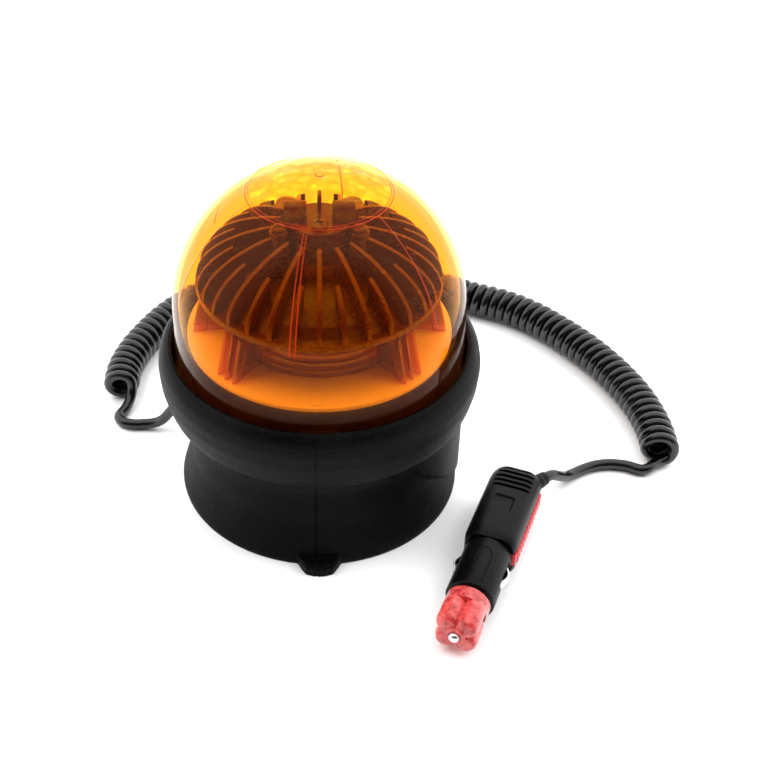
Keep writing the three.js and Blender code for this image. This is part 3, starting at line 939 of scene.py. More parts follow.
def tube_rule(finish: Finish) -> Rule:
    """A round tube along a curve: inputs Radius in metres and Sides.

    Args:
        finish: the tube's finish.

    Returns:
        The rule.
    """
    rule = Rule("tube_along_" + finish.name.lower())
    radius, sides = rule.number("Radius"), rule.number("Sides", whole=True)
    section = rule.node("GeometryNodeCurvePrimitiveCircle", inputs={"Resolution": sides, "Radius": radius})
    tube = rule.node(
        "GeometryNodeCurveToMesh",
        inputs={"Curve": rule.entry.outputs[0], "Profile Curve": section.outputs[0], "Fill Caps": True},
    )
    rule.close(tube.outputs[0], finish)
    return rule


def tube_along(
    name: str, line: np.ndarray, radius: float, sides: int, finish: Finish
) -> bpy.types.Object:
    """Makes a round tube along a centreline.

    Args:
        name: the tube's name.
        line: the centreline in metres.
        radius: the tube's radius in millimetres.
        sides: the sides of its section.
        finish: its finish.

    Returns:
        The tube.
    """
    curve = bpy.data.curves.new(name, "CURVE")
    curve.dimensions = "3D"
    spline = curve.splines.new("POLY")
    spline.points.add(len(line) - 1)
    spline.points.foreach_set("co", np.column_stack([line, np.ones(len(line))]).ravel())
    carrier = bpy.data.objects.new(name + "_line", curve)
    bpy.context.scene.collection.objects.link(carrier)
    tube = tube_rule(finish).grow(carrier, {"Radius": radius * MM, "Sides": sides})
    tube.name = name
    return tube


def settle(obj: bpy.types.Object, body: str, nodes: Sequence[str]) -> bpy.types.Object:
    """Rides a piece on a body, in the stead of CAD nodes, and reports it.

    Args:
        obj: the piece.
        body: the body it rides.
        nodes: the CAD nodes it stands for.

    Returns:
        The piece.
    """
    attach(obj, body)
    if nodes:
        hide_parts(*nodes)
    stead = ", ".join(nodes) or "itself"
    LOG.info("%s: %d faces on %s, for %s", obj.name, len(obj.data.polygons), body, stead)
    return obj


def sector(inner: float, outer: float, low: float, high: float, middle: float, width: float) -> Form:
    """A block between two radii and heights, this many degrees wide.

    Args:
        inner: its inner radius.
        outer: its outer radius.
        low: its foot.
        high: its top.
        middle: the angle of its middle.
        width: its width in degrees.

    Returns:
        The form.
    """
    angles = np.linspace(middle - width / 2, middle + width / 2, 9)
    corners = rounded([(inner, low), (outer, low), (outer, high), (inner, high)], 0.5, 2)
    turns = np.radians(angles)
    rings = [np.array([(r * math.cos(a), r * math.sin(a), z) for r, z in corners]) for a in turns]
    return Form().rings(np.array(rings))


def at(x: float, y: float, z: float, turn: float = 0.0) -> Matrix:
    """A place in millimetres with a turn about Z in degrees."""
    return Matrix.Translation((x, y, z)) @ Matrix.Rotation(math.radians(turn), 4, "Z")


# ---------- Cord ----------


@dataclass
class CurlyCord:
    """The lead from the beacon's gland, through its curls, to the plug."""

    radius: float = 2.55
    curl_radius: float = 6.75
    pitch: float = 5.4
    curl_z: float = 9.4
    start_phase: float = -44.0
    end_phase: float = -54.0
    points_a_turn: int = 28
    sides: int = 16
    lamp_tail: Outline = (
        (-64.66, 22.9, 20.4), (-68, 24.1, 19.9), (-71.6, 25.3, 17.4), (-74.6, 26.4, 13), (-78, 27.6, 7.8),
        (-82.5, 29, 4), (-88, 29.4, 2.9), (-94, 29.2, 2.8), (-99.6, 31, 2.8), (-102, 35.5, 2.8),
        (-100, 40, 2.9), (-97.7, 44.5, 3.6), (-97.2, 49.8, 4.7),
    )
    curls: Outline = (
        (-102, 50.4), (-102, 65), (-98.5, 81), (-92, 97), (-82, 115), (-65, 134), (-38, 149), (0, 156),
        (38, 152), (64, 143.5), (86, 132), (101.5, 125), (117, 113.5), (131, 98), (144, 80), (154.5, 60),
        (162, 39), (165.5, 18), (165.5, 0),
    )
    plug_tail: Outline = (
        (162, -1.2, 4.6), (160.4, -6.4, 3.4), (155.6, -5.4, 2.9), (149.5, -2.3, 2.8), (142, -1, 2.8),
        (134.5, -1.9, 2.8), (127.5, -4.9, 2.8), (121.5, -8.8, 3.2), (117, -12.8, 5.4), (113, -16.2, 9),
        (109.6, -18.8, 11.7), (106.35, -21.25, 12.3),
    )
    inside_plug: Outline = ((2.0, 5.0), (8.0, 1.5), (16.0, 0.0))
    route_step: float = 1.5

    def helix(self) -> np.ndarray:
        """The centreline of the curls.

        Returns:
            Points in millimetres.
        """
        spine = curve_through([(x, y, self.curl_z) for x, y in self.curls], self.pitch / self.points_a_turn)
        heading = np.gradient(spine, axis=0)
        heading /= np.linalg.norm(heading, axis=1)[:, None]
        right = np.stack([heading[:, 1], -heading[:, 0], 0 * heading[:, 0]], 1)
        turns = round(len(spine) / self.points_a_turn)
        first, last = math.radians(self.start_phase), math.radians(self.end_phase)
        phase = np.linspace(first, last + 2 * math.pi * turns, len(spine))
        up = np.array([0.0, 0.0, 1.0])
        return spine + self.curl_radius * (np.cos(phase)[:, None] * right + np.sin(phase)[:, None] * up)

    def route(self) -> np.ndarray:
        """The whole centreline, smoothed where the curls meet the tails.

        Returns:
            Points in millimetres.
        """
        step = self.route_step
        inside = [tuple(PLUG_PLACE @ Vector((s, y, 0.0))) for s, y in reversed(self.inside_plug)]
        lamp = curve_through(self.lamp_tail, step)
        curls = spaced(self.helix(), step)
        plug = curve_through([*self.plug_tail, *reversed(inside)], step)
        line = np.concatenate([lamp, curls, plug])
        for joint in (len(lamp), len(lamp) + len(curls)):
            self.relax(line, joint)
        return spaced(line, step)

    @staticmethod
    def relax(line: np.ndarray, joint: int, reach: int = 7, rounds: int = 30) -> None:
        """Evens out the line about one of its points, in place.

        Args:
            line: the points.
            joint: the point's number.
            reach: how many points on each side.
            rounds: how often it is evened.
        """
        places = np.arange(joint - reach, joint + reach)
        share = (0.5 * (1 - (np.abs(places - joint) / reach) ** 2))[:, None]
        for _ in range(rounds):
            middle = (line[places - 1] + line[places + 1]) / 2
            line[places] += (middle - line[places]) * share

    def build(self) -> tuple[bpy.types.Object, np.ndarray]:
        """Makes the cord.

        Returns:
            The tube and its centreline in metres.
        """
        line = self.route() * MM
        tube = tube_along("curly_cord", line, self.radius, self.sides, Finish.CORD)
        settle(tube, "base", ("cord_lamp_tail", "cord_coil", "cord_plug_tail"))
        return tube, line


# ---------- Lamp ----------


@dataclass
class RubberBoot:
    """The rubber base with its collar, front step, side lobe and pull tab."""

    wall: Outline = (
        (65.7, 0), (66, 1), (66, 2.5), (65, 6), (60.9, 19), (58.3, 32), (57.4, 44), (58.4, 46.8),
        (66.2, 47.6), (69, 50), (70.9, 55), (72.6, 62), (73.2, 69.8), (72.3, 75), (70.2, 78.4), (68.4, 79.3),
    )
    lining: Outline = (
        (66.9, 78.6), (66.9, 60.4), (50, 60.4), (50, 11.3), (4, 11.3), (4, 9.3), (52.4, 9.3), (52.4, 0),
    )
    row_gap: float = 1.15
    edge_heights: tuple[float, ...] = (4.85, 5.15, 42.9, 43.35)
    hole_reach: tuple[float, float] = (45.0, 76.0)
    step_half_angle: float = 27.5
    step_radius: float = 66.4
    step_heights: tuple[float, float] = (43.0, 50.0)
    lobe_angle: float = 15.0
    lobe_half_angle: float = 63.0
    lobe_half: tuple[float, float] = (62.0, 42.0)
    lobe_radius: float = 66.8
    lobe_z: float = 48.0
    tab_angles: tuple[float, ...] = (0.0, 1.9, 4.8, 7.3, 8.3, 9.6, 11.5)
    tab_radii: tuple[float, ...] = (73.2, 73.1, 72.0, 68.1, 66.2, 65.4, 60.0)
    tab_top: float = 5.0
    seam_depth: float = 0.28
    gland_hole: float = 5.6

    def columns(self) -> np.ndarray:
        """Angles of the columns, closer together at edges.

        Returns:
            The angles in degrees.
        """
        edges = [FRONT - self.step_half_angle, FRONT + self.step_half_angle]
        edges += [self.lobe_angle - self.lobe_half_angle, self.lobe_angle + self.lobe_half_angle]
        sets = [np.arange(0, 360, 1.0)]
        sets += [np.arange(edge - 2.4, edge + 2.5, 0.4) for edge in edges]
        sets += [np.arange(FRONT - 11.6, FRONT + 11.7, 0.4)]
        angles = np.unique(np.round(np.concatenate(sets) % 360, 2))
        return angles[np.concatenate([[True], np.diff(angles) > 0.15])]

    def heights(self) -> list[tuple[float, float]]:
        """The wall as close rows of radius and height.

        Returns:
            The rows from the floor up.
        """
        wall = rounded(self.wall, 1.2, 2, closed=False)
        rows = [tuple(wall[0])]
        for (r0, z0), (r1, z1) in zip(wall, wall[1:]):
            count = max(1, round(math.hypot(r1 - r0, z1 - z0) / self.row_gap))
            rows += [(r0 + (r1 - r0) * k / count, z0 + (z1 - z0) * k / count) for k in range(1, count + 1)]
        for height in self.edge_heights:
            radius = float(np.interp(height, [z for _, z in wall], [r for r, _ in wall]))
            rows.append((radius, height))
        return sorted(rows, key=lambda row: row[1])

    def row(self, angles: np.ndarray, radius: float, z: float) -> np.ndarray:
        """One ring of the outside with the step, lobe, tab and seam in it.

        Args:
            angles: the columns in degrees.
            radius: the plain wall's radius.
            z: the ring's height.

        Returns:
            The ring's points.
        """
        low, high = self.step_heights
        off_front = np.abs(apart(angles, FRONT))
        size = np.full(len(angles), radius)
        in_step = step_up(self.step_half_angle + 0.6 - off_front, 0.0, 1.2)
        in_step = in_step * step_up(z, low - 0.1, low + 0.5) * (z < high)
        size = np.maximum(size, radius + (self.step_radius - radius) * in_step)
        off_lobe = apart(angles, self.lobe_angle)
        across = self.lobe_radius * np.sin(np.radians(off_lobe)) / self.lobe_half[0]
        from_edge = 1 - np.sqrt(across**2 + ((z - self.lobe_z) / self.lobe_half[1]) ** 2)
        in_lobe = step_up(from_edge, -0.004, 0.045) * (np.abs(off_lobe) < 90) * (z < high)
        size = np.maximum(size, radius + (self.lobe_radius - radius) * in_lobe)
        tab = np.interp(off_front, self.tab_angles, self.tab_radii)
        in_tab = float(1 - step_up(z, self.tab_top - 0.35, self.tab_top + 0.15))
        size = np.maximum(size, radius + (tab - radius) * in_tab)
        seam = np.abs(size * np.cos(np.radians(angles)) - SEAM_X)
        groove = self.seam_depth * (1 - step_up(seam, 0.25, 0.75)) * (off_front < 60) * (z < 78)
        return round_row(angles, size - groove, z)

    def build(self) -> None:
        """Makes the boot and cuts the gland's hole."""
        angles = self.columns()
        rows = [self.row(angles, r, z) for r, z in self.heights()]
        rows += [round_row(angles, r, z) for r, z in rounded(self.lining, 0.8, 2, closed=False)]
        boot = Form().rings(np.array(rows), Ends.LOOPED).build("rubber_boot_body", [Finish.BOOT])
        near, far = self.hole_reach
        hole = [(0, near), (self.gland_hole, near), (self.gland_hole, far), (0, far)]
        tool = Form().turned(hole, 48).build("hole", [Finish.BOOT], radial(GLAND_ANGLE, GLAND_Z))
        settle(carved(boot, [tool]), "base", ["rubber_boot"])


def radial(angle: float, z: float) -> Matrix:
    """Turns +Z to point outwards at this angle and height."""
    return at(0, 0, z, angle) @ Matrix.Rotation(math.pi / 2, 4, "Y")


@dataclass
class MagnetFoot:
    """The magnet under the lamp: its pad, steel cup and ring."""

    cup: Outline = (
        (3.3, 5.7), (6.5, 5.7), (6.5, 2.3), (16, 2.3), (16, 6.5), (49.5, 6.5), (49.5, 2.3), (52, 2.3),
        (52, 9), (3.3, 9),
    )
    ring: Outline = ((16.3, 2.4), (49.2, 2.4), (49.2, 6.2), (16.3, 6.2))
    pad_rings: tuple[float, ...] = (14.0, 26.0, 38.0)
    pad_ring_depth: float = 0.5
    pad_edge: Outline = ((50.4, 0.5), (51.2, 0.0), (52, 0.8), (52, 1.7), (51.6, 2), (0, 2))

    def build(self) -> None:
        """Makes the three pieces."""
        deep = self.pad_ring_depth
        under = [(0, deep)]
        for radius in self.pad_rings:
            under += [(radius - 1, deep), (radius - 0.6, 0), (radius + 5.6, 0), (radius + 6, deep)]
        outline = [*under, *self.pad_edge]
        pad = Form().turned(outline, 160).build("magnet_pad_ridged", [Finish.SOFT])
        settle(pad, "base", ["magnet_pad"])
        cup = Form().turned(rounded(self.cup, 0.4, 2), 128).build("magnet_cup_turned", [Finish.STEEL])
        settle(cup, "base", ["magnet_cup"])
        ring = Form().turned(rounded(self.ring, 0.5, 2), 128).build("ring_magnet_ground", [Finish.FERRITE])
        settle(ring, "base", ["ring_magnet"])


@dataclass
class LampHousing:
    """The black cup that holds the lamp, its hooks and pillars, the gland and the white plate."""

    wall: Outline = (
        (3.3, 11.6), (49.6, 11.6), (49.6, 60.7), (66.3, 60.7), (66.3, 63.7), (58.8, 63.7), (58.8, 82.8),
        (56, 82.8), (56, 63.7), (46.6, 58), (46.6, 14), (3.3, 14),
    )
    hook: tuple[float, ...] = (57.8, 61.9, 70.4, 73.0)
    hook_width: float = 15.0
    pillar: Outline = ((0, 13.6), (3.6, 13.6), (3.6, 25.2), (3.2, 25.7), (0, 25.7))
    pillar_radius: float = 34.0
    gland: Outline = (
        (2.9, 40), (4.2, 40), (4.2, 50.4), (5.2, 50.4), (5.2, 60.6), (4.7, 61), (4.7, 61.8), (5.1, 62.2),
        (5.0, 63.4), (4.5, 63.8), (4.5, 64.6), (4.8, 65), (4.6, 66.8), (3.7, 68), (2.9, 68),
    )
    seal: Outline = ((59.1, 64), (65.6, 64), (65.6, 66.4), (59.1, 66.4))
    plate: Outline = ((2.6, 83.1), (59.2, 83.1), (59.2, 85.3), (2.6, 85.3))
    plate_hole: Outline = ((0, 80), (2.6, 80), (2.6, 90), (0, 90))
    plate_hole_y: float = 7.0
    clip: tuple[float, ...] = (53.2, 55.6, 75.0, 83.8)
    clip_width: float = 12.0
    clip_angles: tuple[float, ...] = (90.0, 210.0, 330.0)
    fan: Outline = ((41, 0.4), (57.6, 2.2), (57.6, -2.2), (41, -0.4))
    fan_heights: tuple[float, float] = (84.9, 86.0)
    fan_turn: float = FRONT - 1.5

    def build(self) -> None:
        """Makes the housing, seal, gland and plate."""
        wall = Form().turned(rounded(self.wall, 0.5, 2), 180).build("cup", [Finish.HOUSING])
        hooks = [
            sector(*self.hook, angle, self.hook_width).build("hook", [Finish.HOUSING]) for angle in BAYONET
        ]
        pillar = Form().turned(self.pillar, 32)
        for angle in BAYONET:
            turn = math.radians(angle)
            place = at(self.pillar_radius * math.cos(turn), self.pillar_radius * math.sin(turn), 0)
            hooks.append(pillar.build("pillar", [Finish.HOUSING], place))
        cup = joined("lamp_housing_cup", [wall, *hooks])
        settle(cup, "base", ["lamp_housing"])
        seal = Form().turned(rounded(self.seal, 0.8, 3), 160).build("lens_seal_ring", [Finish.SOFT])
        settle(seal, "base", ["lens_seal"])
        place = radial(GLAND_ANGLE, GLAND_Z)
        gland = Form().turned(self.gland, 48).build("cable_gland_ribbed", [Finish.SOFT], place)
        settle(gland, "base", ["cable_gland"])
        self.build_plate()

    def build_plate(self) -> None:
        """Makes the white plate with its clips and its raised fan at the front."""
        plate_body = Form().turned(rounded(self.plate, 0.5, 2), 180).build("plate", [Finish.REFLECTOR])
        hole = Form().turned(self.plate_hole, 32)
        carved(plate_body, [hole.build("hole", [Finish.REFLECTOR], at(0, self.plate_hole_y, 0))])
        parts = [plate_body]
        for angle in self.clip_angles:
            parts.append(sector(*self.clip, angle, self.clip_width).build("clip", [Finish.REFLECTOR]))
        rings = [np.column_stack([self.fan, np.full(len(self.fan), z)]) for z in self.fan_heights]
        fan = Form().rings(np.array(rings))
        parts.append(fan.build("fan", [Finish.REFLECTOR], at(0, 0, 0, self.fan_turn)))
        settle(joined("reflector_plate_moulded", parts), "base", ["reflector_plate"])


@dataclass
class HeatSink:
    """The ribbed black cooling cap on the lamp, with its posts and screws."""

    cap: Outline = ((0, 106.3), (40, 106.3), (50, 109.4), (54, 109.4), (54, 112.7), (50, 112.7))
    arc: tuple[float, float, float] = (49.0, 12.5, 112.7)
    arc_degrees: tuple[float, float] = (20.0, 68.0)
    tower: Outline = ((13, 125), (13, 141), (0, 141))
    rib_arc: tuple[float, float] = (53.6, 26.0)
    rib_half: float = 1.0
    rib_foot: float = 110.0
    ribs: int = 16
    long_rib: float = 70.0
    short_rib: float = 46.0
    post: Outline = (
        (-3, 124), (4, 124), (4, 145.2), (3.53, 146.95), (2.25, 148.23), (0.5, 148.7), (-1.25, 148.23),
        (-2.53, 146.95), (-3, 145.2),
    )
    post_x: float = 10.2
    post_half: float = 4.8
    boss_x: float = 17.0
    boss_y: float = -6.0
    boss: Outline = ((0, 118), (4.2, 118), (4.2, 138.1), (3.8, 138.5), (1.6, 138.5), (1.6, 128), (0, 128))
    rear_fin: tuple[tuple[float, ...], ...] = ((-0.9, 6, 138), (0.9, 10.5, 148.5))
    side_screw: tuple[float, float, float] = (3.2, 1.5, 9.0)
    side_screw_z: float = 138.8
    hub_screw: tuple[float, float, float] = (3.8, 2.0, 12.0)
    hub_screw_at: tuple[float, float, float] = (0.0, -7.0, 141.3)

    def rib(self, reach: float) -> Outline:
        """The outline of a rib that climbs this many degrees.

        Args:
            reach: the degrees.

        Returns:
            The outline.
        """
        across, up, z = self.rib_arc[0], self.rib_arc[1], self.arc[2]
        turns = [math.radians(t) for t in np.linspace(reach, 0, 14)]
        line = [(across * math.cos(t), z + up * math.sin(t)) for t in turns]
        return [*line, (across, self.rib_foot), (line[0][0], self.rib_foot)]

    def build(self) -> None:
        """Makes the cap with its ribs, and the three screws."""
        wide, tall, z = self.arc
        turns = [math.radians(t) for t in np.linspace(*self.arc_degrees, 9)]
        crown = [(wide * math.cos(t), z + tall * math.sin(t)) for t in turns]
        outline = [*self.cap, *crown, *self.tower]
        body = Form().turned([outline[0], *rounded(outline[1:-1], 0.5, 2), outline[-1]], 160)
        parts = [body.build("cap", [Finish.SINK])]
        spin = spin_rule(Finish.SINK)
        step = math.tau / self.ribs
        for shift, reach in ((0.0, self.long_rib), (0.5, self.short_rib)):
            rib = plate(self.rib(reach), self.rib_half, 0.35).build("rib", [Finish.SINK])
            first = math.radians(FRONT) + shift * step
            parts.append(spin.grow(rib, {"Count": self.ribs, "First": first, "Step": step}))
        for side in (-1, 1):
            post, boss = plate(self.post, self.post_half, 0.5), Form().turned(self.boss, 40)
            parts.append(post.build("post", [Finish.SINK], at(side * self.post_x, 0, 0, 90)))
            parts.append(boss.build("boss", [Finish.SINK], at(side * self.boss_x, self.boss_y, 0)))
        parts.append(box_form(*self.rear_fin, 0.4).build("fin", [Finish.SINK]))
        settle(joined("heat_sink_ribbed", parts), "base", ["heat_sink"])
        for name, x in (("sink_screw_left", -self.boss_x), ("sink_screw_right", self.boss_x)):
            screw(name, *self.side_screw, at(x, self.boss_y, self.side_screw_z), Finish.SINK)
        screw("hub_screw", *self.hub_screw, at(*self.hub_screw_at), Finish.SINK)


def screw(node: str, head: float, shank: float, length: float, place: Matrix, finish: Finish) -> None:
    """Makes a pan-head screw with a cross recess in the stead of a CAD screw.

    Args:
        node: the CAD node.
        head: the head's radius.
        shank: the shank's radius.
        length: the shank's length.
        place: the place of the underside of the head.
        finish: its finish.
    """
    outline = [(0, -length), (shank * 0.6, -length), (shank, -length + 1)]
    outline += [(shank, 0), (head - 0.2, 0), (head, 0.3), (head, 1.1)]
    outline += [(head * 0.8, 1.7), (head * 0.45, 2), (0, 2.05)]
    body = Form().turned(outline, 40).build(node + "_turned", [finish], place)
    tools = []
    for turn in (0, 90):
        bar = box_form((-head * 0.6, -head * 0.13, 0.8), (head * 0.6, head * 0.13, 3), 0.1)
        tools.append(bar.build("slot", [finish], place @ Matrix.Rotation(math.radians(turn + 20), 4, "Z")))
    settle(carved(body, tools), "base", [node])


@dataclass
class OpticRing:
    """The clear ring round the lamps with its groups of three fins."""

    inner: float = 35.6
    foot: float = 39.3
    top: float = 38.5
    heights: tuple[float, float] = (85.6, 106.0)
    bands: int = 5
    web: Outline = ((38.2, 85.7), (51.0, 85.7), (47.5, 105.4), (38.2, 105.4))
    bar: Outline = ((50.6, 85.6), (56.6, 85.6), (51.6, 105.6), (46.8, 105.6))
    fin_spread: float = 4.8
    group_step: float = 45.0
    swell: float = 0.55

    def build(self) -> None:
        """Makes the ring."""
        low, high = self.heights
        outline = [(self.inner, high), (self.inner, low)]
        for t in np.linspace(0, 1, self.bands * 6 + 1):
            swell = self.swell * abs(math.sin(math.pi * t * self.bands))
            radius = self.foot - self.swell + (self.top - self.foot) * t + swell
            outline.append((radius, low + (high - low) * t))
        parts = [Form().turned(outline, 180).build("ring", [Finish.OPTIC])]
        spin = spin_rule(Finish.OPTIC)
        web = plate(self.web, 0.2, 0.1).build("web", [Finish.OPTIC])
        bar = plate(self.bar, 0.8, 0.3).build("bar", [Finish.OPTIC])
        fin = joined("fins", [web, bar])
        spread = math.radians(self.fin_spread)
        spin.grow(fin, {"Count": 3, "First": -spread, "Step": spread})
        first, step = math.radians(FRONT + self.group_step), math.radians(self.group_step)
        spin.grow(fin, {"Count": 7, "First": first, "Step": step})
        settle(joined("optic_ring_moulded", [*parts, fin]), "base", ["optic_ring"])


@dataclass
class AmberDome:
    """The amber lens: a ridged ring and a dimpled crown on top, mould lines, and bayonet lugs inside."""

    radius: float = 65.0
    wall: float = 2.6
    middle_z: float = 96.9
    skirt: Outline = ((65.5, 79.0), (65.7, 67.1), (65.3, 66.7), (63.4, 66.7), (63.1, 67.1), (62.7, 79.0))
    ring_radii: tuple[float, float] = (30.0, 31.1)
    ring_height: float = 0.28
    crown: float = 28.6
    dimples: int = 120
    dimple_depth: float = 0.16
    line_first: float = -100.0
    line_half: float = 0.34
    line_lift: float = 0.14
    line_from: float = 31.6
    line_to_degrees: float = 74.0
    lug: tuple[float, ...] = (60.2, 63.0, 67.6, 70.0)
    lug_width: float = 15.0
    shaded_ring_reach: tuple[float, ...] = (1.5, 29.8, 30.9)
    fine_reach: tuple[float, ...] = (29.2, 29.6, 29.8, 30.0, 30.2, 30.55, 30.9, 31.1, 31.3, 31.6)
    centres: np.ndarray = field(init=False)

    def __post_init__(self) -> None:
        """Scatters the dimples."""
        draw = np.random.RandomState(4)
        turn = draw.uniform(0, math.tau, self.dimples)
        reach = self.crown * 0.97 * np.sqrt(draw.uniform(0, 1, self.dimples))
        self.centres = np.stack([reach * np.cos(turn), reach * np.sin(turn)], 1)

    def lines(self) -> list[float]:
        """The angles of the mould lines; the front one is double."""
        singles = [self.line_first + 60 * k for k in range(1, 6)]
        return [self.line_first - 1.1, self.line_first + 1.1, *singles]

    def columns(self) -> np.ndarray:
        """The angles of the columns, with a narrow pair at each mould line.

        Returns:
            The angles in degrees.
        """
        beside = [side * width for side in (-1, 1) for width in (0.3, 0.7)]
        narrow = [line + shift for line in self.lines() for shift in beside]
        plain = [a for a in np.arange(0, 360, 1.5) if min(abs(apart(a, n)) for n in narrow) > 0.5]
        return np.unique(np.round(np.array([*plain, *narrow]) % 360, 3))

    def relief(self, x: np.ndarray, y: np.ndarray, r: float, angles: np.ndarray) -> np.ndarray:
        """How far the outside stands proud at a ring's points.

        Args:
            x: the points' x.
            y: the points' y.
            r: the ring's radius about the middle.
            angles: the points' angles in degrees.

        Returns:
            A height for each point.
        """
        proud = np.zeros(len(x))
        for ring in self.ring_radii:
            rope = 0.75 + 0.25 * np.sin(np.radians(angles) * 150)
            proud += self.ring_height * math.exp(-(((r - ring) / 0.32) ** 2)) * rope
        if r < self.crown:
            gap = (x[:, None] - self.centres[:, 0]) ** 2 + (y[:, None] - self.centres[:, 1]) ** 2
            fade = min(1.0, (self.crown - r) / 1.5)
            proud -= fade * self.dimple_depth * np.minimum(2.0, np.exp(-gap / 5.0).sum(1))
        return proud - 0.25 * math.exp(-(((r - 2.0) / 0.45) ** 2))

    def build(self) -> None:
        """Makes the lens."""
        angles = self.columns()
        reach = [0.0, 0.8, 1.5, 2.0, 2.5, 3.2, *np.arange(4.2, 28.8, 1.05)]
        reach += self.fine_reach
        polar = [math.degrees(math.asin(r / self.radius)) for r in reach]
        polar += list(np.arange(polar[-1] + 1.2, 89.5, 1.5)) + [90.0]
        outside, slots = [], []
        for degrees in polar:
            turn = math.radians(degrees)
            r, z = self.radius * math.sin(turn), self.radius * math.cos(turn)
            flat = round_row(angles, r, 0.0)
            size = 1 + self.relief(flat[:, 0], flat[:, 1], r, angles) / self.radius
            has_line = self.line_from < r and degrees <= self.line_to_degrees
            lined = self.line_lift / self.radius if has_line else 0.0
            near = np.min([np.abs(apart(angles, line)) for line in self.lines()], 0)
            size = size + lined * (near < self.line_half)
            outside.append(np.stack([flat[:, 0] * size, flat[:, 1] * size, self.middle_z + z * size], 1))
        rows = outside + [round_row(angles, r, z) for r, z in self.skirt]
        inner = self.radius - self.wall
        for degrees in np.linspace(90, 0, 46):
            turn = math.radians(degrees)
            rows.append(round_row(angles, inner * math.sin(turn), self.middle_z + inner * math.cos(turn)))
        form = Form().rings(np.array(rows), Ends.OPEN)
        # The strips along the mould lines and the rows at the ring's edges take the second finish: darker
        # red, painted shade.
        shaded_strips = [k for k, a in enumerate(angles) if self.on_line(a, angles[(k + 1) % len(angles)])]
        shaded_rows = [reach.index(radius) for radius in self.shaded_ring_reach]
        for i in (*shaded_rows, shaded_rows[-1] + 1):
            form.slots[i * len(angles) : (i + 1) * len(angles)] = [1] * len(angles)
        for i, degrees in enumerate(polar[:-1]):
            beyond = self.radius * math.sin(math.radians(degrees)) > self.line_from - 0.1
            if beyond and degrees < self.line_to_degrees:
                for k in shaded_strips:
                    form.slots[i * len(angles) + k] = 1
        dome = form.build("dome", [Finish.AMBER, Finish.LINE])
        lugs = [sector(*self.lug, angle, self.lug_width).build("lug", [Finish.AMBER]) for angle in BAYONET]
        settle(joined("amber_dome", [dome, *lugs]), "lens", ["dome_lens"])

    def on_line(self, first: float, second: float) -> bool:
        """True for the strip of columns that a mould line runs along.

        Args:
            first: the strip's first angle.
            second: its second angle.

        Returns:
            Whether a line runs along it.
        """
        middle = first + ((second - first) % 360) / 2
        return min(abs(apart(middle, line)) for line in self.lines()) < 0.05


# ---------- Plug ----------

PLUG_HEADING = -111.8
PLUG_PLACE = at(93, -25, 12.3, PLUG_HEADING)


def lengthways(place: Matrix = PLUG_PLACE) -> Matrix:
    """Turns +Z to run along the plug."""
    return place @ Matrix.Rotation(math.pi / 2, 4, "Y")


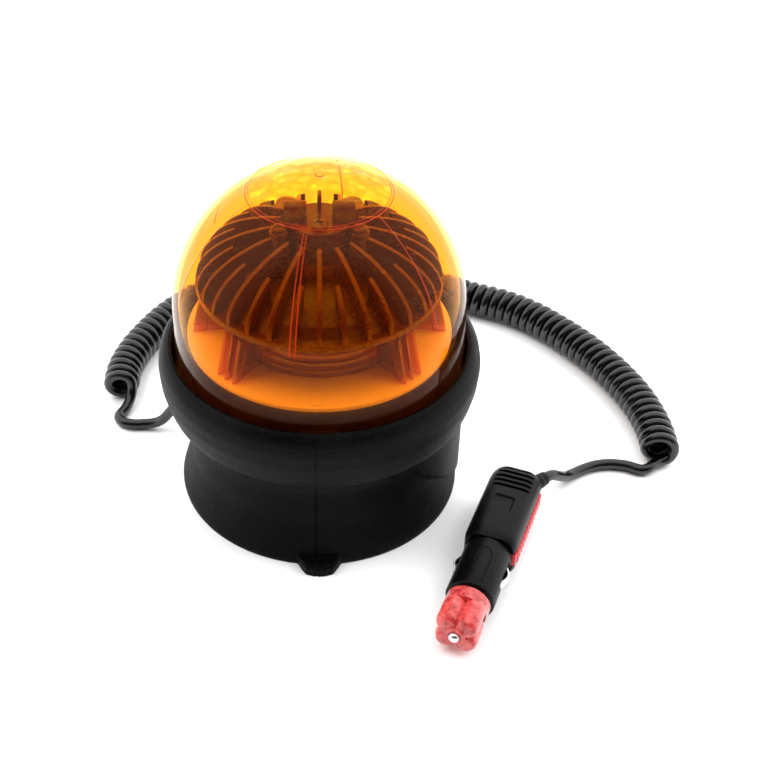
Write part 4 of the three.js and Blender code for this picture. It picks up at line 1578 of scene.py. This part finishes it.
@dataclass
class PlugShells:
    """The square two-part body of the plug, its grooves, thumb rest and slide channel."""

    corner: float = 7.5
    profile: Outline = (
        (0.0, 7.6), (0.5, 9.0), (1.4, 10.1), (3.0, 11.1), (5.4, 11.75), (8.4, 12.0), (46.0, 12.0),
        (47.6, 11.85), (48.8, 11.5), (50.0, 10.9),
    )
    split: float = 0.15
    hollow: tuple[tuple[float, ...], ...] = ((9.0, -8.6, -8.7), (55, 6.2, 8.7))
    channel: tuple[tuple[float, ...], ...] = ((1.6, 8.8, -3.9), (60, 20, 3.9))
    slant: tuple[tuple[float, ...], ...] = ((-8, -20, -20), (-0.1, 20, 20))
    slant_place: tuple[float, ...] = (0.8, 6.0, 0.0, -28.0)
    grooves: int = 5
    groove_first: float = 3.0
    groove_step: float = 3.2
    groove_width: float = 1.7
    thumb_rest: tuple[tuple[float, ...], ...] = ((23, -5.5, 11.2), (33, 4, 14))
    screw_at: tuple[float, float, float] = (40.0, -2.0, 0.0)
    screw_seat: Outline = ((0, -13), (3.2, -13), (3.2, -10.7), (0, -10.7))
    screw_head: Outline = ((0, -11.7), (1.2, -11.75), (2.5, -11.6), (2.9, -11.2), (2.9, -10.9), (0, -10.9))
    screw_slot: tuple[tuple[float, ...], ...] = ((-1.9, -0.35, -13), (1.9, 0.35, -11.2))

    def ring(self, s: float, half: float) -> np.ndarray:
        """A rounded square across the plug at this length.

        Args:
            s: the length along the plug.
            half: half the square's side.

        Returns:
            The ring's points.
        """
        corner = min(self.corner, half * 0.62)
        turn = np.radians(np.arange(0, 90, 7.5))
        quarter = np.stack([half - corner + corner * np.cos(turn), half - corner + corner * np.sin(turn)], 1)
        square = []
        for k in range(4):
            c, d = math.cos(k * math.pi / 2), math.sin(k * math.pi / 2)
            square += [(y * c - z * d, y * d + z * c) for y, z in quarter]
        return np.array([(s, y, z) for y, z in square])

    def blank(self) -> bpy.types.Object:
        """The solid body before it is split.

        Returns:
            The body.
        """
        rings = []
        for (s0, h0), (s1, h1) in zip(self.profile, self.profile[1:]):
            count = max(1, round((s1 - s0) / 3))
            for k in range(count):
                rings.append(self.ring(s0 + (s1 - s0) * k / count, h0 + (h1 - h0) * k / count))
        rings.append(self.ring(*self.profile[-1]))
        return Form().rings(np.array(rings)).build("blank", [Finish.PLUG], PLUG_PLACE)

    def tool(
        self, low: Sequence[float], high: Sequence[float], edge: float, place: Matrix | None = None
    ) -> bpy.types.Object:
        """A box to cut with, in the plug's own lengths.

        Args:
            low: its lowest corner.
            high: its highest corner.
            edge: how far its edges are rounded.
            place: a further turn and shift.

        Returns:
            The box.
        """
        whole = PLUG_PLACE @ (place or Matrix.Identity(4))
        return box_form(low, high, edge).build("tool", [Finish.PLUG], whole)

    def build(self) -> None:
        """Makes both shells."""
        for name, sign in (("plug_shell_upper", 1), ("plug_shell_lower", -1)):
            low, high = sorted((sign * self.split, sign * 20))
            shell = self.blank()
            carved(shell, [self.tool((-5, -20, low), (60, 20, high), 0.01)], "INTERSECT")
            cuts = [
                self.tool(*self.hollow, 1.5),
                self.tool(*self.channel, 0.3),
                self.tool(*self.slant, 0.1, at(*self.slant_place)),
            ]
            if sign > 0:
                for k in range(self.grooves):
                    s = self.groove_first + self.groove_step * k
                    cuts.append(self.tool((s, -14, 10.5), (s + self.groove_width, 8.6, 13), 0.4))
                cuts.append(self.tool(*self.thumb_rest, 1.2))
            else:
                seat = Form().turned(self.screw_seat, 32)
                cuts.append(seat.build("seat", [Finish.PLUG], PLUG_PLACE @ at(*self.screw_at)))
            for cut in cuts:
                carved(shell, [cut])
            smoothed(shell, 30)
            shell.name = name + "_moulded"
            settle(shell, "base", [name])
        self.build_screw()

    def build_screw(self) -> None:
        """Makes the screw that holds the shells, with its cross recess."""
        pan = Form().turned(self.screw_head, 32)
        head = pan.build("plug_screw_pan", [Finish.STEEL], PLUG_PLACE @ at(*self.screw_at))
        tools = []
        for turn in (10, 100):
            bar = box_form(*self.screw_slot, 0.1)
            tools.append(bar.build("slot", [Finish.STEEL], PLUG_PLACE @ at(*self.screw_at, turn)))
        settle(carved(head, tools), "base", ["plug_screw"])


@dataclass
class PlugNose:
    """The barrel, side contacts, red adapter, centre contact and red slide at the plug's front."""

    barrel: Outline = (
        (1.5, 50.3), (10.4, 50.3), (10.8, 50.8), (10.8, 78.5), (10.5, 79.2), (9.8, 79.7), (6, 79.7),
        (6, 95.1), (5.7, 95.5), (2.8, 95.5), (2.8, 92.5), (4.2, 92.5), (4.2, 52.8), (1.5, 52.8),
    )
    barrel_radius: float = 10.8
    slot_inner: float = 5.4
    hook: Outline = (
        (77.0, 3.4), (60.0, 3.4), (57.6, 2.6), (56.6, 0.4), (57.6, -1.8), (60.0, -2.6), (66.0, -2.6),
    )
    hook_radius: float = 0.42
    tongue: tuple[tuple[float, ...], ...] = ((42, -5, -1.2), (50.6, 5, 1.2))
    bow: Outline = ((54, 8.6), (56.5, 10.3), (59.5, 12), (62, 12.5), (64.5, 11.7), (68.4, 8.6))
    contact: Outline = (
        (0, 90.2), (3.8, 90.2), (3.8, 92.2), (2.4, 92.2), (2.4, 101.2), (2.1, 102.2), (1.2, 102.9), (0, 103),
    )
    lobe_turn: float = 45.0
    lobe_centre: float = 5.9
    adapter: Outline = (
        (6.45, 80.0), (9.3, 80.0), (9.7, 80.4), (9.55, 83), (9.2, 85.8), (9.3, 86.0), (-4.5, 86.3),
        (-4.85, 86.8), (-5.0, 87.6), (-5.0, 92), (-5.0, 97.0), (-4.7, 98.4), (-4.1, 99.5), (-3.4, 100),
        (4.6, 100.1), (4.4, 101), (2.8, 101), (2.8, 96.2), (6.45, 96.2),
    )
    slide: tuple[tuple[float, ...], ...] = ((6.4, 9.1, -3.5), (49.6, 12.15, 3.5))
    tooth: tuple[tuple[float, ...], ...] = ((6.7, 11.6, -3.4), (8.3, 12.7, 3.4))
    teeth: int = 13
    tooth_step: float = 3.2
    contact_thickness: float = 0.9
    boot: Outline = (
        (0, 1), (4, 1), (4, 3), (3.6, 3.4), (3.6, 4.2), (4, 4.6), (4, 5.5), (3.4, 6.2), (3.4, 7), (3.6, 7.4),
        (3.5, 8.4), (3.2, 8.8), (3.2, 9.6), (3.35, 10), (3.1, 11.6), (0, 11.6),
    )
    boot_place: tuple[float, ...] = (2.0, 5.0, 0.0, 150.0)
    spring: tuple[float, float] = (54.2, 62.6)
    spring_radius: float = 2.55
    spring_wire: float = 0.42
    spring_turns: int = 5
    spring_sides: int = 10
    spring_left: float = 0.72

    def build(self) -> list[bpy.types.Object]:
        """Makes the pieces.

        Returns:
            Those that stand for CAD nodes on the cord's end.
        """
        front = [self.build_barrel(), self.build_adapter(), self.build_slide(), self.build_spring()]
        return front + self.build_contacts()

    def build_spring(self) -> bpy.types.Object:
        """Makes the coil spring behind the fuse, at one length; the real one shortens as the centre contact
        is pressed.

        Returns:
            The spring.
        """
        low, high = self.spring
        share = np.linspace(0, 1, self.spring_turns * 20 + 1)
        turn = share * self.spring_turns * math.tau
        climb = low + (high - low) * step_up(share, -0.12, 1.12)
        coil = np.stack([climb, self.spring_radius * np.cos(turn), self.spring_radius * np.sin(turn)], 1)
        line = np.array([tuple(PLUG_PLACE @ Vector(point) * MM) for point in coil])
        made = tube_along("fuse_spring_coiled", line, self.spring_wire, self.spring_sides, Finish.STEEL)
        settle(made, "base", ["fuse_spring"])
        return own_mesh(made)

    def build_barrel(self) -> bpy.types.Object:
        """Makes the black barrel with its slots and hook line.

        Returns:
            The barrel.
        """
        barrel = Form().turned(self.barrel, 96).build("plug_barrel_turned", [Finish.PLUG], lengthways())
        tools = []
        for near, far in ((-20, -self.slot_inner), (self.slot_inner, 20)):
            slot = box_form((53.4, near, -3), (69, far, 3), 0.4)
            tools.append(slot.build("slot", [Finish.PLUG], PLUG_PLACE))
        carved(barrel, tools)
        hook = curve_through(self.hook, 0.8)
        path = [(s, y, math.sqrt(self.barrel_radius**2 - y * y)) for s, y in hook]
        carved(barrel, [self.groove(path, self.hook_radius)])
        tongue = box_form(*self.tongue, 0.4).build("tongue", [Finish.PLUG], PLUG_PLACE)
        whole = self.kept("plug_barrel_turned", [barrel, tongue])
        return settle(whole, "base", ["plug_barrel"])

    @staticmethod
    def kept(name: str, parts: Sequence[bpy.types.Object]) -> bpy.types.Object:
        """Joins parts under a name one of them had.

        Args:
            name: the name.
            parts: the parts.

        Returns:
            The whole.
        """
        made = joined(name + "_set", parts)
        made.name = name
        return made

    @staticmethod
    def groove(path: Sequence[Sequence[float]], radius: float) -> bpy.types.Object:
        """A thin round bar along a path on the plug, to cut with.

        Args:
            path: points in the plug's own lengths.
            radius: the bar's radius.

        Returns:
            The bar.
        """
        line = np.array(path)
        heading = np.gradient(line, axis=0)
        heading /= np.linalg.norm(heading, axis=1)[:, None]
        side = np.cross(heading, (0, 0, 1.0))
        side /= np.linalg.norm(side, axis=1)[:, None]
        up = np.cross(side, heading)
        rings = []
        for k in range(len(line)):
            turn = np.arange(8) * math.tau / 8
            rings.append(line[k] + radius * (np.cos(turn)[:, None] * side[k] + np.sin(turn)[:, None] * up[k]))
        return Form().rings(np.array(rings)).build("groove", [Finish.PLUG], PLUG_PLACE)

    def lobed(self, angles: np.ndarray, radius: float, s: float) -> np.ndarray:
        """A ring of the adapter: four lobes where its radius is negative, which is then a lobe's own.

        Args:
            angles: the columns in degrees.
            radius: the radius.
            s: the length along the plug.

        Returns:
            The ring's points.
        """
        if radius >= 0:
            return round_row(angles, radius, s)
        lobe = -radius
        off = np.radians((angles - self.lobe_turn + 45) % 90 - 45)
        across = self.lobe_centre * np.sin(off)
        size = self.lobe_centre * np.cos(off) + np.sqrt(np.maximum(lobe**2 - across**2, 0.0))
        return round_row(angles, size, s)

    def build_adapter(self) -> bpy.types.Object:
        """Makes the red adapter.

        Returns:
            The adapter.
        """
        adapter = Form().turned(self.adapter, 144, 0, self.lobed)
        made = adapter.build("plug_adapter_lobed", [Finish.RED_CLEAR], lengthways())
        return settle(made, "adapter", ["plug_adapter"])

    def build_slide(self) -> bpy.types.Object:
        """Makes the red slide with its row of knurls.

        Returns:
            The slide.
        """
        bar = box_form(*self.slide, 0.4).build("bar", [Finish.RED_SLIDE], PLUG_PLACE)
        tooth = box_form(*self.tooth, 0.35).build("teeth", [Finish.RED_SLIDE], PLUG_PLACE)
        step = (PLUG_PLACE.to_3x3() @ Vector((self.tooth_step, 0, 0))) * MM
        row_rule(Finish.RED_SLIDE).grow(tooth, {"Count": self.teeth, "X": step.x, "Y": step.y, "Z": step.z})
        whole = joined("release_slide_knurled", [bar, tooth])
        return settle(whole, "release", ["release_slide"])

    def build_contacts(self) -> list[bpy.types.Object]:
        """Makes the two sprung side contacts, the centre contact and the boot.

        Returns:
            The pieces.
        """
        made = []
        for name, side in (("contact_right", 1), ("contact_left", -1)):
            outer = curve_through(self.bow, 0.7)
            inner = outer - np.array([0, self.contact_thickness])
            rings = []
            for width, trim in ((-2.5, 0.15), (-2.3, 0.0), (2.3, 0.0), (2.5, 0.15)):
                loop = np.concatenate([outer - (0, trim), inner[::-1] + (0, trim)])
                rings.append(np.stack([loop[:, 0], loop[:, 1] * side, np.full(len(loop), width)], 1))
            bow = Form().rings(np.array(rings)).build(name + "_bow", [Finish.STEEL], PLUG_PLACE)
            made.append(settle(bow, name, ["side_" + name]))
        tip = Form().turned(self.contact, 48).build("tip_contact_turned", [Finish.STEEL], lengthways())
        made.append(settle(tip, "tip", ["tip_contact"]))
        place = lengthways(PLUG_PLACE @ at(*self.boot_place))
        sleeve = Form().turned(self.boot, 40).build("plug_boot_ribbed", [Finish.SOFT], place)
        made.append(settle(sleeve, "base", ["plug_boot"]))
        return made


# ---------- Frame parts kept, and the studio ----------

KEPT = {
    Finish.STEEL: (
        "magnet_bolt", "magnet_washer", "magnet_nut", "board_screw_1", "board_screw_2", "board_screw_3",
    ),
    Finish.PLUG: ("gland_nut", "terminal_block"),
    Finish.CORD: ("inner_lead", "core_lead"),
    Finish.BOARD: ("driver_board",),
    Finish.ALUMINIUM: ("driver_capacitor", "led_core"),
    Finish.BRASS: ("driver_coil",),
    Finish.WHITE: ("led_board",),
    Finish.PHOSPHOR: tuple(f"led_{k}" for k in range(1, 9)),
    Finish.FUSE: ("plug_fuse",),
}


def dress_kept_parts(nodes: dict[str, bpy.types.Object]) -> None:
    """Gives every CAD part that stays its finish.

    Args:
        nodes: the frame's objects by name.
    """
    for finish, names in KEPT.items():
        for name in names:
            part = nodes[name]
            part.data.materials.clear()
            part.data.materials.append(finish.material())
            LOG.info("%s: kept, in %s", name, finish.value.name)


@dataclass
class Studio:
    """The floor, the lights and the camera."""

    camera_at: Colour = (0.0, -0.480, 0.4303)
    camera_dip: float = 0.668
    lens: float = 61.68
    shift: float = 0.0841
    floor_half: float = 3.0
    lamps: tuple[tuple, ...] = (
        ("key", (-0.8, 0.1, 1.3), 13.0, 1.0),
        ("fill", (1.0, 0.1, 1.1), 11.0, 0.9),
        ("back", (0.1, 1.1, 0.9), 11.0, 1.0),
    )
    aim: Colour = (0.03, 0.0, 0.05)
    bright: float = 2.0
    dim: float = 0.1
    dim_start: float = 0.1
    dim_full: float = 0.6

    def place_camera(self) -> None:
        """Makes the camera."""
        data = bpy.data.cameras.new("camera")
        data.sensor_width = 36.0
        data.lens = self.lens
        data.shift_x = self.shift
        camera = bpy.data.objects.new("camera", data)
        camera.location = self.camera_at
        camera.rotation_euler = (math.pi / 2 - self.camera_dip, 0.0, 0.0)
        bpy.context.scene.collection.objects.link(camera)
        bpy.context.scene.camera = camera

    def light(self) -> None:
        """Lights the room softly and lays the floor."""
        scene = bpy.context.scene
        scene.view_settings.view_transform = "Standard"
        world = bpy.data.worlds.new("room")
        scene.world = world
        world.use_nodes = True
        self.wrap_room(world.node_tree)
        for name, place, power, size in self.lamps:
            data = bpy.data.lights.new(name, "AREA")
            data.energy = power
            data.size = size
            lamp = bpy.data.objects.new(name, data)
            lamp.visible_glossy = False
            lamp.location = place
            heading = Vector(self.aim) - Vector(place)
            lamp.rotation_euler = heading.to_track_quat("-Z", "Y").to_euler()
            scene.collection.objects.link(lamp)
        self.lay_floor()

    def wrap_room(self, tree: bpy.types.NodeTree) -> None:
        """Makes the room white above, behind and at the sides, and dim in front.

        Args:
            tree: the world's nodes.
        """
        room = NodeWork(tree)
        heading = room.node("ShaderNodeTexCoord").outputs["Generated"]
        split = room.node("ShaderNodeSeparateXYZ", inputs={0: heading})
        dim = room.node(
            "ShaderNodeMapRange",
            {"interpolation_type": "SMOOTHSTEP"},
            {0: split.outputs["Y"], 1: -self.dim_full, 2: -self.dim_start, 3: self.dim, 4: self.bright},
        )
        seen = room.node("ShaderNodeLightPath").outputs["Is Camera Ray"]
        strength = room.node("ShaderNodeMix", inputs={0: seen, 2: dim.outputs[0], 3: 1.0})
        background = tree.nodes["Background"]
        background.inputs[0].default_value = (1.0, 1.0, 1.0, 1.0)
        tree.links.new(strength.outputs[0], background.inputs[1])

    def lay_floor(self) -> None:
        """Makes the pale floor."""
        paint = Paint("studio_floor")
        cloud = paint.noise(300.0, 2.0)
        shader = paint.principled(
            {
                "Base Color": paint.blend(cloud, (0.9, 0.9, 0.9), (0.93, 0.93, 0.93)),
                "Roughness": 0.75 + (cloud - 0.5) * 0.1,
                "Specular IOR Level": 0.2,
            }
        )
        material = paint.finish(shader)
        h = self.floor_half / MM
        ring = np.array([(-h, -h), (h, -h), (h, h), (-h, h)])
        rings = np.array([np.column_stack([ring, np.full(4, z)]) for z in (-10.0, -0.05)])
        floor = Form().rings(rings).build("studio_floor", [])
        floor.data.materials.append(material)


def main() -> None:
    """Builds the beacon around its frame."""
    logging.basicConfig(level=logging.INFO, format="%(name)s %(message)s")
    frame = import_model()
    nodes = frame["nodes"]
    studio = Studio()
    studio.place_camera()
    cord = CurlyCord()
    tube, line = cord.build()
    RubberBoot().build()
    MagnetFoot().build()
    LampHousing().build()
    HeatSink().build()
    OpticRing().build()
    AmberDome().build()
    PlugShells().build()
    nose = PlugNose().build()
    dress_kept_parts(nodes)
    studio.light()


if __name__ == "__main__":
    main()
